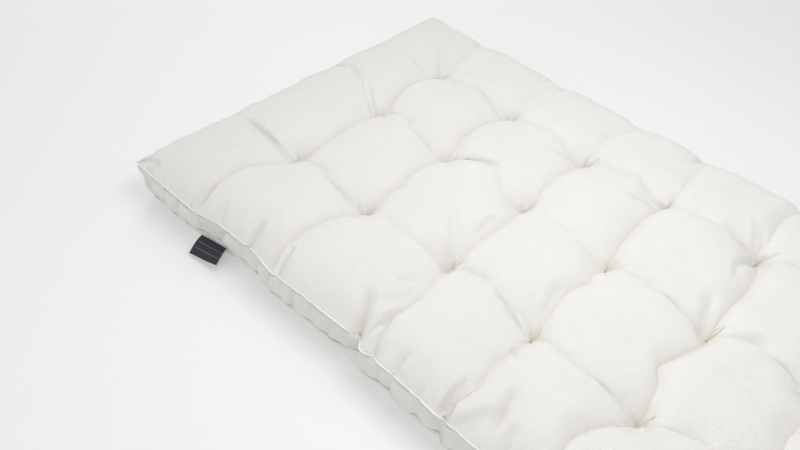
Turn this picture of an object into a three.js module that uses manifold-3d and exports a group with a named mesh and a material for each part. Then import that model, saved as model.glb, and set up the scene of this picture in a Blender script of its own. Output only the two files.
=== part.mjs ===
// Tufted crib mattress, lying flat: a filled cotton pad whose top and underside
// are pulled together by thread ties, with a raised welt round both seams and a
// folded label sewn into the lower one. Millimetres, +Z up. +X runs from the head
// end to the foot, and the label is on the -Y side. The origin is on the surface
// that the mattress lies on, at the centre of the footprint, label included.
import * as THREE from "three";
import Module from "manifold-3d";
import { mergeVertices } from "three/addons/utils/BufferGeometryUtils.js";

const wasm = await Module();
wasm.setup();

// Driving sizes
const LENGTH = 1320; // between the corners of the top seam
const WIDTH = 710;
const TOP_SEAM_HEIGHT = 63;
const BOTTOM_SEAM_HEIGHT = 17;
const CROWN_HEIGHT = 95; // top of a full pillow between four ties
const TIE_HEIGHT = 60; // bottom of the pit round a tie
const UNDER_TIE_HEIGHT = 12; // roof of the dimple under a tie
const CLEARANCE = 0.3; // between pieces that touch

// Ties: seven rows of three. Each row has its place along the mattress, and how
// far each of its ties has strayed from the even grid, as [along, across]. Its
// valley runs on to the near and far seams, where it ends this far from the grid.
const TIE_COLUMNS = [-180, 0, 180];
const TIE_ROWS = [
  { along: -480, nearEnd: [-32, 0], near: [-6, 6], middle: [-3, 15], far: [-9, 2], farEnd: [-20, 0] },
  { along: -320, nearEnd: [-18, 0], near: [0, -2], middle: [0, 4], far: [0, 3], farEnd: [0, 0] },
  { along: -160, nearEnd: [0, 0], near: [-1, 8], middle: [0, 11], far: [3, -3], farEnd: [18, 0] },
  { along: 0, nearEnd: [-20, 0], near: [-3, -5], middle: [-2, -1], far: [-6, 6], farEnd: [-5, 0] },
  { along: 160, nearEnd: [-8, 0], near: [5, -19], middle: [3, -6], far: [-10, 6], farEnd: [10, 0] },
  { along: 320, nearEnd: [12, 0], near: [2, 5], middle: [-4, -3], far: [3, 6], farEnd: [-8, 0] },
  { along: 480, nearEnd: [20, 0], near: [-3, -4], middle: [4, 5], far: [2, -6], farEnd: [16, 0] },
];
const NODE_NAMES = ["nearEnd", "near", "middle", "far", "farEnd"];

// Where the valleys along the mattress end at the head and foot seams.
const COLUMN_ENDS = [
  { head: [0, -5], foot: [0, 8] },
  { head: [0, 40], foot: [0, -12] },
  { head: [0, 4], foot: [0, 6] },
];

// How the top rises from its seam, and how the valleys between ties run.
const EDGE_ROLL = 75; // the top reaches its full height this far from the seam
const EDGE_ROUNDNESS = 2.6;
const VALLEY_SHARE = 0.68; // height of the valley halfway between two ties
const VALLEY_SHARPNESS = 0.55;
const OUTER_FILL = 1.3; // an outer pillow is full this much sooner than an inner one
const FILL_VARIATION = { share: 0.1, perRow: 2.3, perColumn: 1.7 }; // some pillows are fuller

// How far each seam lies inside an even edge: evenly between its corners, and
// more at the end of each line of ties.
const SIDE_DRAWS = {
  head: { even: 0, scallop: 3 },
  foot: { even: 2, scallop: 4 },
  far: { even: 3, scallop: 8 },
};
const DRAW_REACH = 90;
const SCALLOP_REACH = 30;
const DRAW_FADE = 4; // the higher this power, the nearer the edge the drawing in stays

// The near seam wanders more: how far it lies out past an even edge, at places
// along it. Between -168 and -148 it steps out over one deep fold, where the
// cloth on the head side is tucked behind the cloth on the foot side.
const NEAR_SEAM = [
  { along: -660, out: 5 },
  { along: -575, out: 4 },
  { along: -519, out: 2 },
  { along: -455, out: -7 },
  { along: -390, out: -9 },
  { along: -334, out: -3 },
  { along: -255, out: -5 },
  { along: -168, out: -9 },
  { along: -148, out: -1 },
  { along: -65, out: 1 },
  { along: 30, out: 3 },
  { along: 160, out: -5 },
  { along: 240, out: 1 },
  { along: 325, out: -6 },
  { along: 410, out: 0 },
  { along: 495, out: -5 },
  { along: 580, out: 2 },
  { along: 660, out: 3 },
];

const SEAM_DIP = 3; // the top seam dips at the end of each row
const CORNER_LIFT = 3;
const CORNER_TUCK = { deep: 9, reach: 45, power: 1.5 }; // the lower corners are tucked in
const CORNER_ROUND = { deep: 7, reach: 15, onset: 3 }; // and the side is rounded there

// The lower seam is lifted where the label hangs.
const LABEL_LIFT = { along: -472, lift: 10, reach: 65 };

// Side of the mattress, from the top seam down to the flat underside.
// height is in millimetres, out is how far the side stands out past the top seam,
// and crease is the share of the side's creases that this ring shows.
const SIDE_RINGS = [
  { height: TOP_SEAM_HEIGHT, out: 0, crease: 0 },
  { height: 51, out: 3.5, crease: 0.8 },
  { height: 39, out: 5, crease: 1 },
  { height: 27, out: 4, crease: 0.8 },
  { height: BOTTOM_SEAM_HEIGHT, out: 1, crease: 0.5 },
  { height: 8, out: -6, crease: 0.1 },
  { height: 2, out: -14, crease: 0 },
  { height: 0, out: -23, crease: 0 },
];
const BOTTOM_SEAM_RING = 4;

// Upright creases in the sides. The near side has its own, the others have one
// at the end of each line of ties.
const CREASE = { depth: 3.5, reach: 13 };
const NEAR_CREASES = [
  { along: -556, depth: 2.5, reach: 14 },
  { along: -452, depth: 3.5, reach: 14 },
  { along: -380, depth: 4, reach: 14 },
  { along: -302, depth: 3, reach: 12 },
  { along: -170, depth: 7, reach: 14 },
  { along: -98, depth: 3.5, reach: 12 },
  { along: -20, depth: 4, reach: 14 },
  { along: 60, depth: 2.5, reach: 14 },
  { along: 152, depth: 3.5, reach: 13 },
  { along: 235, depth: 2, reach: 14 },
  { along: 332, depth: 4, reach: 14 },
  { along: 430, depth: 2, reach: 14 },
  { along: 500, depth: 3.5, reach: 13 },
];

// Places along one spacing of the ties where the surface has points, closer
// together beside a valley.
const STEPS = [0, 0.06, 0.17, 0.33, 0.5, 0.67, 0.83, 0.94];

// Dimples in the underside, from the rim to the roof.
const DIMPLE_SIDES = 8;
const DIMPLE_RINGS = [
  { radius: 30, height: 0 },
  { radius: 17, height: 4 },
  { radius: 7, height: UNDER_TIE_HEIGHT },
];

const WELT = { base: 2.8, height: 3.4, shoulder: 0.6, top: 1.8, topTilt: 34, bottomTilt: -26 };
const LABEL = {
  middle: -473, // its middle lies here along the mattress
  along: 56,
  reach: 29,
  thick: 1.1,
  droop: 17,
  droopPower: 1.6,
  steps: 6,
  seats: 15, // places where it is set against the seam
  seatedShare: 1.05, // a little more than its own length
};
const KNOT = { radius: 2.4, seat: 4.2, thread: 1.3, ends: 17, shortEnd: 0.7, lean: 27, spread: 0.5 };
const STITCH = { length: 9, width: 2, thick: 1.6 };
const TURN = { perRow: 1.9, perColumn: 2.7 }; // the knots and stitches lie this way and that

const COTTON = 0xefeeea;
const WELT_COTTON = 0xf3f1ec;
const THREAD = 0xe6dcc2;
const LABEL_CLOTH = 0x2f3340;

// Grid coordinates: u counts tie rows from the head seam (0) to the foot seam (8),
// v counts tie columns from the near seam (0) to the far seam (4).
const ROW_LINES = [-LENGTH / 2, ...TIE_ROWS.map((row) => row.along), LENGTH / 2];
const COLUMN_LINES = [-WIDTH / 2, ...TIE_COLUMNS, WIDTH / 2];
const U_CELLS = ROW_LINES.length - 1;
const V_CELLS = COLUMN_LINES.length - 1;

function bell(distance, reach) {
  return Math.exp(-((distance / reach) ** 2));
}

function nodeOffset(i, j) {
  const row = TIE_ROWS[i - 1];
  if (row) return row[NODE_NAMES[j]];
  const ends = COLUMN_ENDS[j - 1];
  if (ends) return i === 0 ? ends.head : ends.foot;
  return [0, 0];
}

// Where a grid point lies in plan before the sides are drawn in.
function evenPlan(u, v) {
  const i = Math.min(Math.floor(u), U_CELLS - 1);
  const j = Math.min(Math.floor(v), V_CELLS - 1);
  const s = u - i;
  const t = v - j;
  const offset = [0, 1].map((k) => {
    const low = nodeOffset(i, j)[k] * (1 - s) + nodeOffset(i + 1, j)[k] * s;
    const high = nodeOffset(i, j + 1)[k] * (1 - s) + nodeOffset(i + 1, j + 1)[k] * s;
    return low * (1 - t) + high * t;
  });
  return [
    ROW_LINES[i] * (1 - s) + ROW_LINES[i + 1] * s + offset[0],
    COLUMN_LINES[j] * (1 - t) + COLUMN_LINES[j + 1] * t + offset[1],
  ];
}

// Where the lines of ties meet each side.
const SEAM_ENDS = {
  near: TIE_ROWS.map((row) => row.along + row.nearEnd[0]),
  far: TIE_ROWS.map((row) => row.along + row.farEnd[0]),
  head: COLUMN_ENDS.map((ends, k) => TIE_COLUMNS[k] + ends.head[1]),
  foot: COLUMN_ENDS.map((ends, k) => TIE_COLUMNS[k] + ends.foot[1]),
};

// How far a side is drawn in at a place along it.
function drawIn(side, along, halfLength) {
  const { even, scallop } = SIDE_DRAWS[side];
  const base = even * (1 - bell(halfLength - Math.abs(along), DRAW_REACH));
  return SEAM_ENDS[side].reduce((sum, end) => sum + scallop * bell(along - end, SCALLOP_REACH), base);
}

function nearSeamOut(x) {
  const next = Math.max(1, NEAR_SEAM.findIndex((point) => point.along >= x));
  const [a, b] = [NEAR_SEAM[next - 1], NEAR_SEAM[next]];
  const share = THREE.MathUtils.smoothstep(x, a.along, b.along);
  return a.out * (1 - share) + b.out * share;
}

function plan(u, v) {
  const [x, y] = evenPlan(u, v);
  const shareX = x / (LENGTH / 2);
  const shareY = y / (WIDTH / 2);
  const drawX = drawIn(x < 0 ? "head" : "foot", y, WIDTH / 2);
  const drawY = y < 0 ? -nearSeamOut(x) : drawIn("far", x, LENGTH / 2);
  return [
    x - drawX * Math.sign(x) * shareX ** DRAW_FADE,
    y - drawY * Math.sign(y) * shareY ** DRAW_FADE,
  ];
}

// The side that a place by the edge belongs to.
function sideAt(x, y) {
  if (WIDTH / 2 - Math.abs(y) < LENGTH / 2 - Math.abs(x)) return y < 0 ? "near" : "far";
  return x < 0 ? "head" : "foot";
}

function alongSide(side, x, y) {
  return side === "near" || side === "far" ? x : y;
}

function fromCorner(x, y) {
  return Math.hypot(LENGTH / 2 - Math.abs(x), WIDTH / 2 - Math.abs(y));
}

// 0 on a line of ties and 1 midway, or at the seam for the outer cells.
function fullness(cell, share, cells) {
  let angle = Math.PI * share;
  if (cell === 0) angle = (Math.PI / 2) * Math.min(1, OUTER_FILL * (1 - share));
  if (cell === cells - 1) angle = (Math.PI / 2) * Math.min(1, OUTER_FILL * share);
  return Math.max(0, Math.sin(angle)) ** VALLEY_SHARPNESS;
}

// 0 at a tie, VALLEY_SHARE in the valley between two ties, 1 on a pillow.
function pillow(u, v) {
  const i = Math.min(Math.floor(u), U_CELLS - 1);
  const j = Math.min(Math.floor(v), V_CELLS - 1);
  const a = fullness(i, u - i, U_CELLS);
  const b = fullness(j, v - j, V_CELLS);
  const rise = VALLEY_SHARE * (a + b) + (1 - 2 * VALLEY_SHARE) * a * b;
  const extra = FILL_VARIATION.share * Math.sin(FILL_VARIATION.perRow * i + FILL_VARIATION.perColumn * j);
  return rise * (1 + extra * a * b);
}

function edgeRise(distance) {
  const share = Math.min(1, distance / EDGE_ROLL);
  return 1 - (1 - share) ** EDGE_ROUNDNESS;
}

// Height of the top seam at a grid point of the edge, or beside it.
function seamHeight(u, v) {
  const [x, y] = evenPlan(u, v);
  const side = sideAt(x, y);
  const along = alongSide(side, x, y);
  const dip = Math.max(...SEAM_ENDS[side].map((end) => bell(along - end, SCALLOP_REACH)));
  return TOP_SEAM_HEIGHT - SEAM_DIP * dip + CORNER_LIFT * bell(fromCorner(x, y), CORNER_TUCK.reach);
}

function topHeight(u, v) {
  const [x, y] = evenPlan(u, v);
  const rise = edgeRise(LENGTH / 2 - Math.abs(x)) * edgeRise(WIDTH / 2 - Math.abs(y));
  const filled = TIE_HEIGHT + (CROWN_HEIGHT - TIE_HEIGHT) * pillow(u, v);
  return seamHeight(u, v) * (1 - rise) + filled * rise;
}

// Grid values along one direction, closer together beside the valleys.
function gridSteps(cells) {
  const values = [];
  for (let cell = 0; cell < cells; cell++) STEPS.forEach((step) => values.push(cell + step));
  return [...values, cells];
}
const U_STEPS = gridSteps(U_CELLS);
const V_STEPS = gridSteps(V_CELLS);

// Grid indices round the edge, anticlockwise as seen from above.
function edgeStations() {
  const lastU = U_STEPS.length - 1;
  const lastV = V_STEPS.length - 1;
  const stations = [];
  for (let i = 0; i < lastU; i++) stations.push([i, 0]);
  for (let j = 0; j < lastV; j++) stations.push([lastU, j]);
  for (let i = lastU; i > 0; i--) stations.push([i, lastV]);
  for (let j = lastV; j > 0; j--) stations.push([0, j]);
  return stations;
}
const STATIONS = edgeStations();

function creaseAt(x, y) {
  const side = sideAt(x, y);
  const along = alongSide(side, x, y);
  const creases = side === "near" ? NEAR_CREASES : SEAM_ENDS[side].map((end) => ({ along: end, ...CREASE }));
  return Math.max(...creases.map((crease) => crease.depth * bell(along - crease.along, crease.reach)));
}

// A point on one ring of the side, at one station of the edge.
function sidePoint(ring, station) {
  const [u, v] = [U_STEPS[STATIONS[station][0]], V_STEPS[STATIONS[station][1]]];
  const [x, y] = plan(u, v);
  const down = (TOP_SEAM_HEIGHT - ring.height) / TOP_SEAM_HEIGHT;
  const out = ring.out - ring.crease * creaseAt(x, y);
  const corner = fromCorner(x, y);
  const lowTuck = CORNER_TUCK.deep * down ** CORNER_TUCK.power * bell(corner, CORNER_TUCK.reach);
  const onset = Math.min(1, CORNER_ROUND.onset * down);
  const tuck = lowTuck + CORNER_ROUND.deep * onset * bell(corner, CORNER_ROUND.reach);
  const nearLabel = y < 0 ? bell(x - LABEL_LIFT.along, LABEL_LIFT.reach) : 0;
  const seamMove = (seamHeight(u, v) - TOP_SEAM_HEIGHT) * (1 - down);
  const labelMove = LABEL_LIFT.lift * nearLabel * Math.min(1, ring.height / BOTTOM_SEAM_HEIGHT) * down;
  return new THREE.Vector3(
    x * (1 + out / (LENGTH / 2)) - tuck * Math.sign(x),
    y * (1 + out / (WIDTH / 2)) - tuck * Math.sign(y),
    ring.height + seamMove + labelMove,
  );
}

function geometryOf(points, triangles) {
  const geometry = new THREE.BufferGeometry();
  geometry.setAttribute("position", new THREE.Float32BufferAttribute(points.flatMap((p) => p.toArray()), 3));
  geometry.setIndex(triangles.flat());
  geometry.computeVertexNormals();
  return geometry;
}

// The filled pad: top grid, rings of the side, flat underside and its dimples
function padGeometry() {
  const points = [];
  const triangles = [];
  const quad = (a, b, c, d) => triangles.push([a, b, c], [a, c, d]);
  const top = U_STEPS.map((u) =>
    V_STEPS.map((v) => points.push(new THREE.Vector3(...plan(u, v), topHeight(u, v))) - 1),
  );
  for (let i = 0; i < U_STEPS.length - 1; i++)
    for (let j = 0; j < V_STEPS.length - 1; j++)
      quad(top[i][j], top[i + 1][j], top[i + 1][j + 1], top[i][j + 1]);

  let above = STATIONS.map(([i, j]) => top[i][j]);
  for (const ring of SIDE_RINGS.slice(1)) {
    const below = STATIONS.map((_, s) => points.push(sidePoint(ring, s)) - 1);
    STATIONS.forEach((_, s) => {
      const next = (s + 1) % STATIONS.length;
      quad(above[s], below[s], below[next], above[next]);
    });
    above = below;
  }

  const dimples = tiePlaces().map((tie) =>
    DIMPLE_RINGS.map((ring) =>
      Array.from({ length: DIMPLE_SIDES }, (_, k) => {
        const angle = (2 * Math.PI * k) / DIMPLE_SIDES;
        const x = tie.x + ring.radius * Math.cos(angle);
        const y = tie.y + ring.radius * Math.sin(angle);
        return points.push(new THREE.Vector3(x, y, ring.height)) - 1;
      }),
    ),
  );
  const flat = (index) => new THREE.Vector2(points[index].x, points[index].y);
  const rims = dimples.map((rings) => rings[0]);
  const order = [...above, ...rims.flat()];
  const faces = THREE.ShapeUtils.triangulateShape(
    above.map(flat),
    rims.map((rim) => rim.map(flat)),
  );
  faces.forEach(([a, b, c]) => triangles.push([order[a], order[c], order[b]]));
  for (const rings of dimples) {
    for (let r = 0; r < rings.length - 1; r++)
      for (let k = 0; k < DIMPLE_SIDES; k++) {
        const next = (k + 1) % DIMPLE_SIDES;
        quad(rings[r][k], rings[r + 1][k], rings[r + 1][next], rings[r][next]);
      }
    const roof = rings.at(-1);
    for (let k = 1; k < DIMPLE_SIDES - 1; k++) triangles.push([roof[0], roof[k + 1], roof[k]]);
  }
  return geometryOf(points, triangles);
}

// Each tie's place in plan, its row and column numbers and the height of its pit.
function tiePlaces() {
  return TIE_ROWS.flatMap((_, row) =>
    TIE_COLUMNS.map((__, column) => {
      const [x, y] = plan(row + 1, column + 1);
      return { row: row + 1, column: column + 1, x, y, z: topHeight(row + 1, column + 1) };
    }),
  );
}

// A welt is a low ridge with a flat foot, standing on one ring of the side and
// leaning out by tilt degrees above the level.
function weltGeometry(ring, tilt) {
  const lean = THREE.MathUtils.degToRad(tilt);
  const section = [
    [0, -WELT.base / 2],
    [WELT.height * WELT.shoulder, -WELT.top / 2],
    [WELT.height, 0],
    [WELT.height * WELT.shoulder, WELT.top / 2],
    [0, WELT.base / 2],
  ];
  const seats = STATIONS.map((_, s) => sidePoint(ring, s));
  const points = [];
  const loops = seats.map((seat, s) => {
    const before = seats[(s + seats.length - 1) % seats.length];
    const after = seats[(s + 1) % seats.length];
    const along = after.clone().sub(before).setZ(0).normalize();
    const outward = new THREE.Vector3(along.y, -along.x, 0);
    const stand = outward.clone().multiplyScalar(Math.cos(lean)).setZ(Math.sin(lean));
    const across = outward.clone().multiplyScalar(-Math.sin(lean)).setZ(Math.cos(lean));
    return section.map(([rise, side]) => {
      const point = seat.clone().addScaledVector(stand, rise + CLEARANCE).addScaledVector(across, side);
      return points.push(point) - 1;
    });
  });
  const triangles = [];
  loops.forEach((loop, s) => {
    const nextLoop = loops[(s + 1) % loops.length];
    loop.forEach((point, k) => {
      const nextK = (k + 1) % loop.length;
      triangles.push([point, nextLoop[point - loop[0]], nextLoop[nextK]]);
      triangles.push([point, nextLoop[nextK], loop[nextK]]);
    });
  });
  return geometryOf(points, triangles);
}

// The lower seam of the near side, at a place along it.
function lowerSeamAt(x) {
  const seam = U_STEPS.map((_, s) => sidePoint(SIDE_RINGS[BOTTOM_SEAM_RING], s));
  const next = seam.findIndex((p) => p.x >= x);
  const [a, b] = [seam[next - 1], seam[next]];
  return a.clone().lerp(b, (x - a.x) / (b.x - a.x));
}

// The label: a folded strip, sewn in along one edge, that lies along the lower
// seam, stands out from it and droops
function labelGeometry() {
  const places = Array.from({ length: LABEL.seats }, (_, k) => k / (LABEL.seats - 1) - 0.5);
  const seam = places.map((share) => lowerSeamAt(LABEL.middle + LABEL.seatedShare * LABEL.along * share));
  const run = seam.at(-1).clone().sub(seam[0]);
  const turn = Math.atan2(run.y, run.x);
  const away = new THREE.Vector3(Math.sin(turn), -Math.cos(turn), 0);
  const weltReach = (WELT.height + CLEARANCE) * Math.cos(THREE.MathUtils.degToRad(WELT.bottomTilt));
  const standOff = Math.max(...seam.map((p) => p.dot(away))) + weltReach + CLEARANCE;
  const height = Math.min(...seam.map((p) => p.z)) - WELT.height / 2;

  const profile = (k, lift) => {
    const share = k / LABEL.steps;
    return [LABEL.reach * share, lift - LABEL.droop * share ** LABEL.droopPower];
  };
  const shape = new THREE.Shape();
  shape.moveTo(...profile(0, 0));
  for (let k = 1; k <= LABEL.steps; k++) shape.lineTo(...profile(k, 0));
  for (let k = LABEL.steps; k >= 0; k--) shape.lineTo(...profile(k, LABEL.thick));

  // The extrusion's own X stands away from the seam, Y is up and Z runs along it.
  const geometry = new THREE.ExtrudeGeometry(shape, { depth: LABEL.along, bevelEnabled: false });
  geometry.translate(0, 0, -LABEL.along / 2);
  const along = new THREE.Vector3(Math.cos(turn), Math.sin(turn), 0);
  const up = new THREE.Vector3(0, 0, 1);
  const place = away.clone().multiplyScalar(standOff);
  place.addScaledVector(along, (LABEL.middle - place.x) / Math.cos(turn)).setZ(height);
  geometry.applyMatrix4(new THREE.Matrix4().makeBasis(away, up, along.negate()).setPosition(place));
  return geometry;
}

function solidOf(geometry) {
  geometry.deleteAttribute("normal");
  geometry.deleteAttribute("uv");
  const merged = mergeVertices(geometry);
  return new wasm.Manifold(
    new wasm.Mesh({
      numProp: 3,
      vertProperties: new Float32Array(merged.attributes.position.array),
      triVerts: new Uint32Array(merged.index.array),
    }),
  );
}

function geometryFrom(solid) {
  const mesh = solid.getMesh();
  const geometry = new THREE.BufferGeometry();
  geometry.setAttribute("position", new THREE.BufferAttribute(mesh.vertProperties, 3));
  geometry.setIndex(new THREE.BufferAttribute(mesh.triVerts, 1));
  geometry.computeVertexNormals();
  return geometry;
}

// A knotted tie: a round knot in the pit, with two short thread ends
function tieGeometry(turn) {
  const knot = new THREE.SphereGeometry(KNOT.radius, 6, 4).translate(0, 0, KNOT.seat);
  let solid = solidOf(knot);
  for (const side of [1, -1]) {
    const length = side > 0 ? KNOT.ends : KNOT.ends * KNOT.shortEnd;
    const thread = new THREE.CylinderGeometry(KNOT.thread / 2, KNOT.thread / 2, length, 4, 1);
    thread.translate(0, length / 2, 0);
    thread.rotateZ(side * THREE.MathUtils.degToRad(KNOT.lean));
    thread.rotateX(Math.PI / 2);
    thread.rotateZ(turn + side * KNOT.spread);
    thread.translate(0, 0, KNOT.seat);
    solid = solid.add(solidOf(thread));
  }
  return geometryFrom(solid);
}

function stitchGeometry() {
  return new THREE.BoxGeometry(STITCH.length, STITCH.width, STITCH.thick);
}

function cloth(color, roughness = 0.85) {
  return new THREE.MeshStandardMaterial({ color, roughness, metalness: 0 });
}

function named(name, geometry, material) {
  const mesh = new THREE.Mesh(geometry, material);
  mesh.name = name;
  return mesh;
}

const labelMesh = named("label", labelGeometry(), cloth(LABEL_CLOTH, 0.7));
labelMesh.geometry.computeBoundingBox();
const weltMesh = named("top_welt", weltGeometry(SIDE_RINGS[0], WELT.topTilt), cloth(WELT_COTTON));
weltMesh.geometry.computeBoundingBox();

const mattress = new THREE.Group();
mattress.add(named("filled_pad", padGeometry(), cloth(COTTON)));
mattress.add(weltMesh);
mattress.add(
  named("bottom_welt", weltGeometry(SIDE_RINGS[BOTTOM_SEAM_RING], WELT.bottomTilt), cloth(WELT_COTTON)),
);
mattress.add(labelMesh);

for (const tie of tiePlaces()) {
  const place = `${tie.row}_${tie.column}`;
  const turn = TURN.perRow * tie.row + TURN.perColumn * tie.column;
  const knot = named(`tie_${place}`, tieGeometry(turn), cloth(THREAD));
  knot.position.set(tie.x, tie.y, tie.z);
  const stitch = named(`under_stitch_${place}`, stitchGeometry(), cloth(THREAD));
  stitch.position.set(tie.x, tie.y, UNDER_TIE_HEIGHT - CLEARANCE - STITCH.thick / 2);
  stitch.rotation.z = turn;
  mattress.add(knot, stitch);
}

// The origin is midway between the tip of the label and the far side.
const nearest = labelMesh.geometry.boundingBox.min.y;
const farthest = weltMesh.geometry.boundingBox.max.y;
mattress.position.y = -(nearest + farthest) / 2;

const part = new THREE.Group();
part.add(mattress);
export default part;
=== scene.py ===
# %% [markdown]
# # A tufted crib mattress
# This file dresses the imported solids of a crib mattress: a filled cotton pad with a
# raised seam round its top and its lower edge, knotted thread ties that pull the top
# down in a grid, and a small folded label. Each step says what the piece is on the
# real object, how it could be made in Blender, and why it is made the way it is here.

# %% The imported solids
import math
import bpy
import numpy as np
from mathutils import Matrix, Vector


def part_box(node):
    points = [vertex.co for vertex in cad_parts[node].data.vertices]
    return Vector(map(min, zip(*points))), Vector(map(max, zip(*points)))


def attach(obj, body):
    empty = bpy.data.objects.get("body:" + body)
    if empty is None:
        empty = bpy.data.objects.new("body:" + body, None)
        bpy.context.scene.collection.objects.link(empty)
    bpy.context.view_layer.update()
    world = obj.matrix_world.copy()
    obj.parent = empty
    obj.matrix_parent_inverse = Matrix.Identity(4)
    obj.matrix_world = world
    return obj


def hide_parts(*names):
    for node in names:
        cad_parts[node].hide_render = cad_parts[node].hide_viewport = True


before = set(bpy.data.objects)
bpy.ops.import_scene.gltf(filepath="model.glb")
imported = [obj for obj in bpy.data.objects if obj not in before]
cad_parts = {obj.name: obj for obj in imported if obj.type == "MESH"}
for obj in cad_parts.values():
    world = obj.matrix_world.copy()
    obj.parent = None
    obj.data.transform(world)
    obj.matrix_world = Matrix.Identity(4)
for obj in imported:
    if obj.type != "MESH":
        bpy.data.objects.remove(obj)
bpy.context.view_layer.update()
MM = 0.001

# %% [markdown]
# ## The camera
# The photograph was taken from above the near side, with the mattress turned so that
# it runs out of the lower right corner. The lens, height and turn below were worked
# out from the places of the ties and corners in the picture. They are given in the
# pad's own frame, whose origin is under the middle of the pad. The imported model's
# origin is under the middle of the whole outline with its label, so the step between
# the two is read from the stitch under the middle tie.

# %% Camera
MIDDLE_TIE = (-2.0, -1.0)  # millimetres, in the pad's own frame
low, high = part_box("under_stitch_4_2")
PAD_SHIFT = np.array([(low.x + high.x) / 2 - MIDDLE_TIE[0] * MM, (low.y + high.y) / 2 - MIDDLE_TIE[1] * MM])
print("pad frame to part frame, mm:", np.round(PAD_SHIFT / MM, 2))

IMAGE_WIDTH = 800
FOCAL_PIXELS = 745.222
SENSOR = 36.0
VIEW_TURN = 0.689839
VIEW_HEIGHT = 0.769330
VIEW_ROLL = 0.0941266
VIEW_PLACE = (0.242488, -0.780239, 0.852384)


def add_camera():
    data = bpy.data.cameras.new("view_camera")
    data.sensor_width = SENSOR
    data.lens = FOCAL_PIXELS * SENSOR / IMAGE_WIDTH
    data.clip_start = 0.01
    camera = bpy.data.objects.new("view_camera", data)
    bpy.context.scene.collection.objects.link(camera)
    back = Vector((
        math.sin(VIEW_TURN) * math.cos(VIEW_HEIGHT),
        -math.cos(VIEW_TURN) * math.cos(VIEW_HEIGHT),
        math.sin(VIEW_HEIGHT),
    ))
    level = Vector((math.cos(VIEW_TURN), math.sin(VIEW_TURN), 0))
    upright = back.cross(level)
    right = math.cos(VIEW_ROLL) * level + math.sin(VIEW_ROLL) * upright
    up = back.cross(right)
    turn = Matrix((right, up, back)).transposed().to_4x4()
    place = Vector(VIEW_PLACE) + Vector((PAD_SHIFT[0], PAD_SHIFT[1], 0))
    camera.matrix_world = Matrix.Translation(place) @ turn
    bpy.context.scene.camera = camera
    return camera


camera = add_camera()
print("lens, mm:", round(camera.data.lens, 2))

# %% [markdown]
# ## The pad's plan
# The cover is two panels of cotton sewn to a side band, and seven rows of three ties
# pull the panels together. Between two ties the top sinks into a valley, and no valley
# is straight: the filling pushes one pillow further out than its neighbour. So the
# whole top is one net of lines, u from row to row and v from column to column, whose
# lines crowd together at the valleys and bend with them. A net made in code keeps
# lines along each valley, which a remeshed block would not.

# %% The net of ties
LENGTH = 1320.0
WIDTH = 710.0
TIE_COLUMNS = [-180.0, 0.0, 180.0]
TIE_ROWS = [-480.0, -320.0, -160.0, 0.0, 160.0, 320.0, 480.0]
# How far each end or tie of a row strays from the even grid, as (along, across)
ROW_STRAYS = {
    "near_end": [(-32, 0), (-18, 0), (0, 0), (-20, 0), (-8, 0), (12, 0), (20, 0)],
    "near": [(-6, 6), (0, -2), (-1, 8), (-3, -5), (5, -19), (2, 5), (-3, -4)],
    "middle": [(-3, 15), (0, 4), (0, 11), (-2, -1), (3, -6), (-4, -3), (4, 5)],
    "far": [(-9, 2), (0, 3), (3, -3), (-6, 6), (-10, 6), (3, 6), (2, -6)],
    "far_end": [(-20, 0), (0, 0), (18, 0), (-5, 0), (10, 0), (-8, 0), (16, 0)],
}
HEAD_STRAYS = [(0, -5), (0, 40), (0, 4)]
FOOT_STRAYS = [(0, 8), (0, -12), (0, 6)]
U_CELLS = len(TIE_ROWS) + 1
V_CELLS = len(TIE_COLUMNS) + 1


def tie_net():
    """Places of the net's corners: seams and ties, as an array of x and y."""
    xs = [-LENGTH / 2, *TIE_ROWS, LENGTH / 2]
    ys = [-WIDTH / 2, *TIE_COLUMNS, WIDTH / 2]
    net = np.array([[(x, y) for y in ys] for x in xs], float)
    for j, strays in enumerate(ROW_STRAYS.values()):
        net[1:-1, j] += strays
    net[0, 1:-1] += HEAD_STRAYS
    net[-1, 1:-1] += FOOT_STRAYS
    return net


NET = tie_net()
print("net corners:", NET.shape[:2])

# %% [markdown]
# ### How the valleys bend
# Each valley between two ties is given as three sideways shifts, a quarter, a half and
# three quarters of the way, and the height of its floor as a share of the pillow's
# height. Three sine waves carry the shifts, so the bend is smooth and ends exactly at
# the ties. A kink is a short step in a valley, where the cloth has folded over itself.

# %% Bends of the valleys
# Rows run across, from the near seam to the far one: (quarter, half, three quarters, floor)
ROW_BENDS = [
    [(-9, -20, -4, 0.66), (3, -1, -2, 0.60), (-7, -17, -14, 0.50), (-2, -4, -3, 0.84)],
    [(-14, -20, -15, 0.58), (-3, -7, -11, 0.56), (-12, -19, -12, 0.54), (-3, -6, -3, 0.84)],
    [(8, 13, 4, 0.64), (0, 1, 2, 0.62), (-3, -6, -2, 0.62), (-5, -14, -2, 0.80)],
    [(12, 4, 1, 0.60), (-5, -9, -3, 0.58), (-7, -10, -8, 0.54), (1, -2, -2, 0.78)],
    [(-28, -38, -24, 0.58), (-9, -19, -4, 0.46), (2, 9, 9, 0.54), (-10, -18, -16, 0.74)],
    [(-6, -15, -9, 0.60), (-8, -14, -5, 0.58), (-4, -9, -12, 0.56), (3, -7, -4, 0.76)],
    [(-10, -17, -12, 0.60), (2, -9, -8, 0.58), (-9, -13, -6, 0.58), (-4, -9, -6, 0.78)],
]
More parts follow.
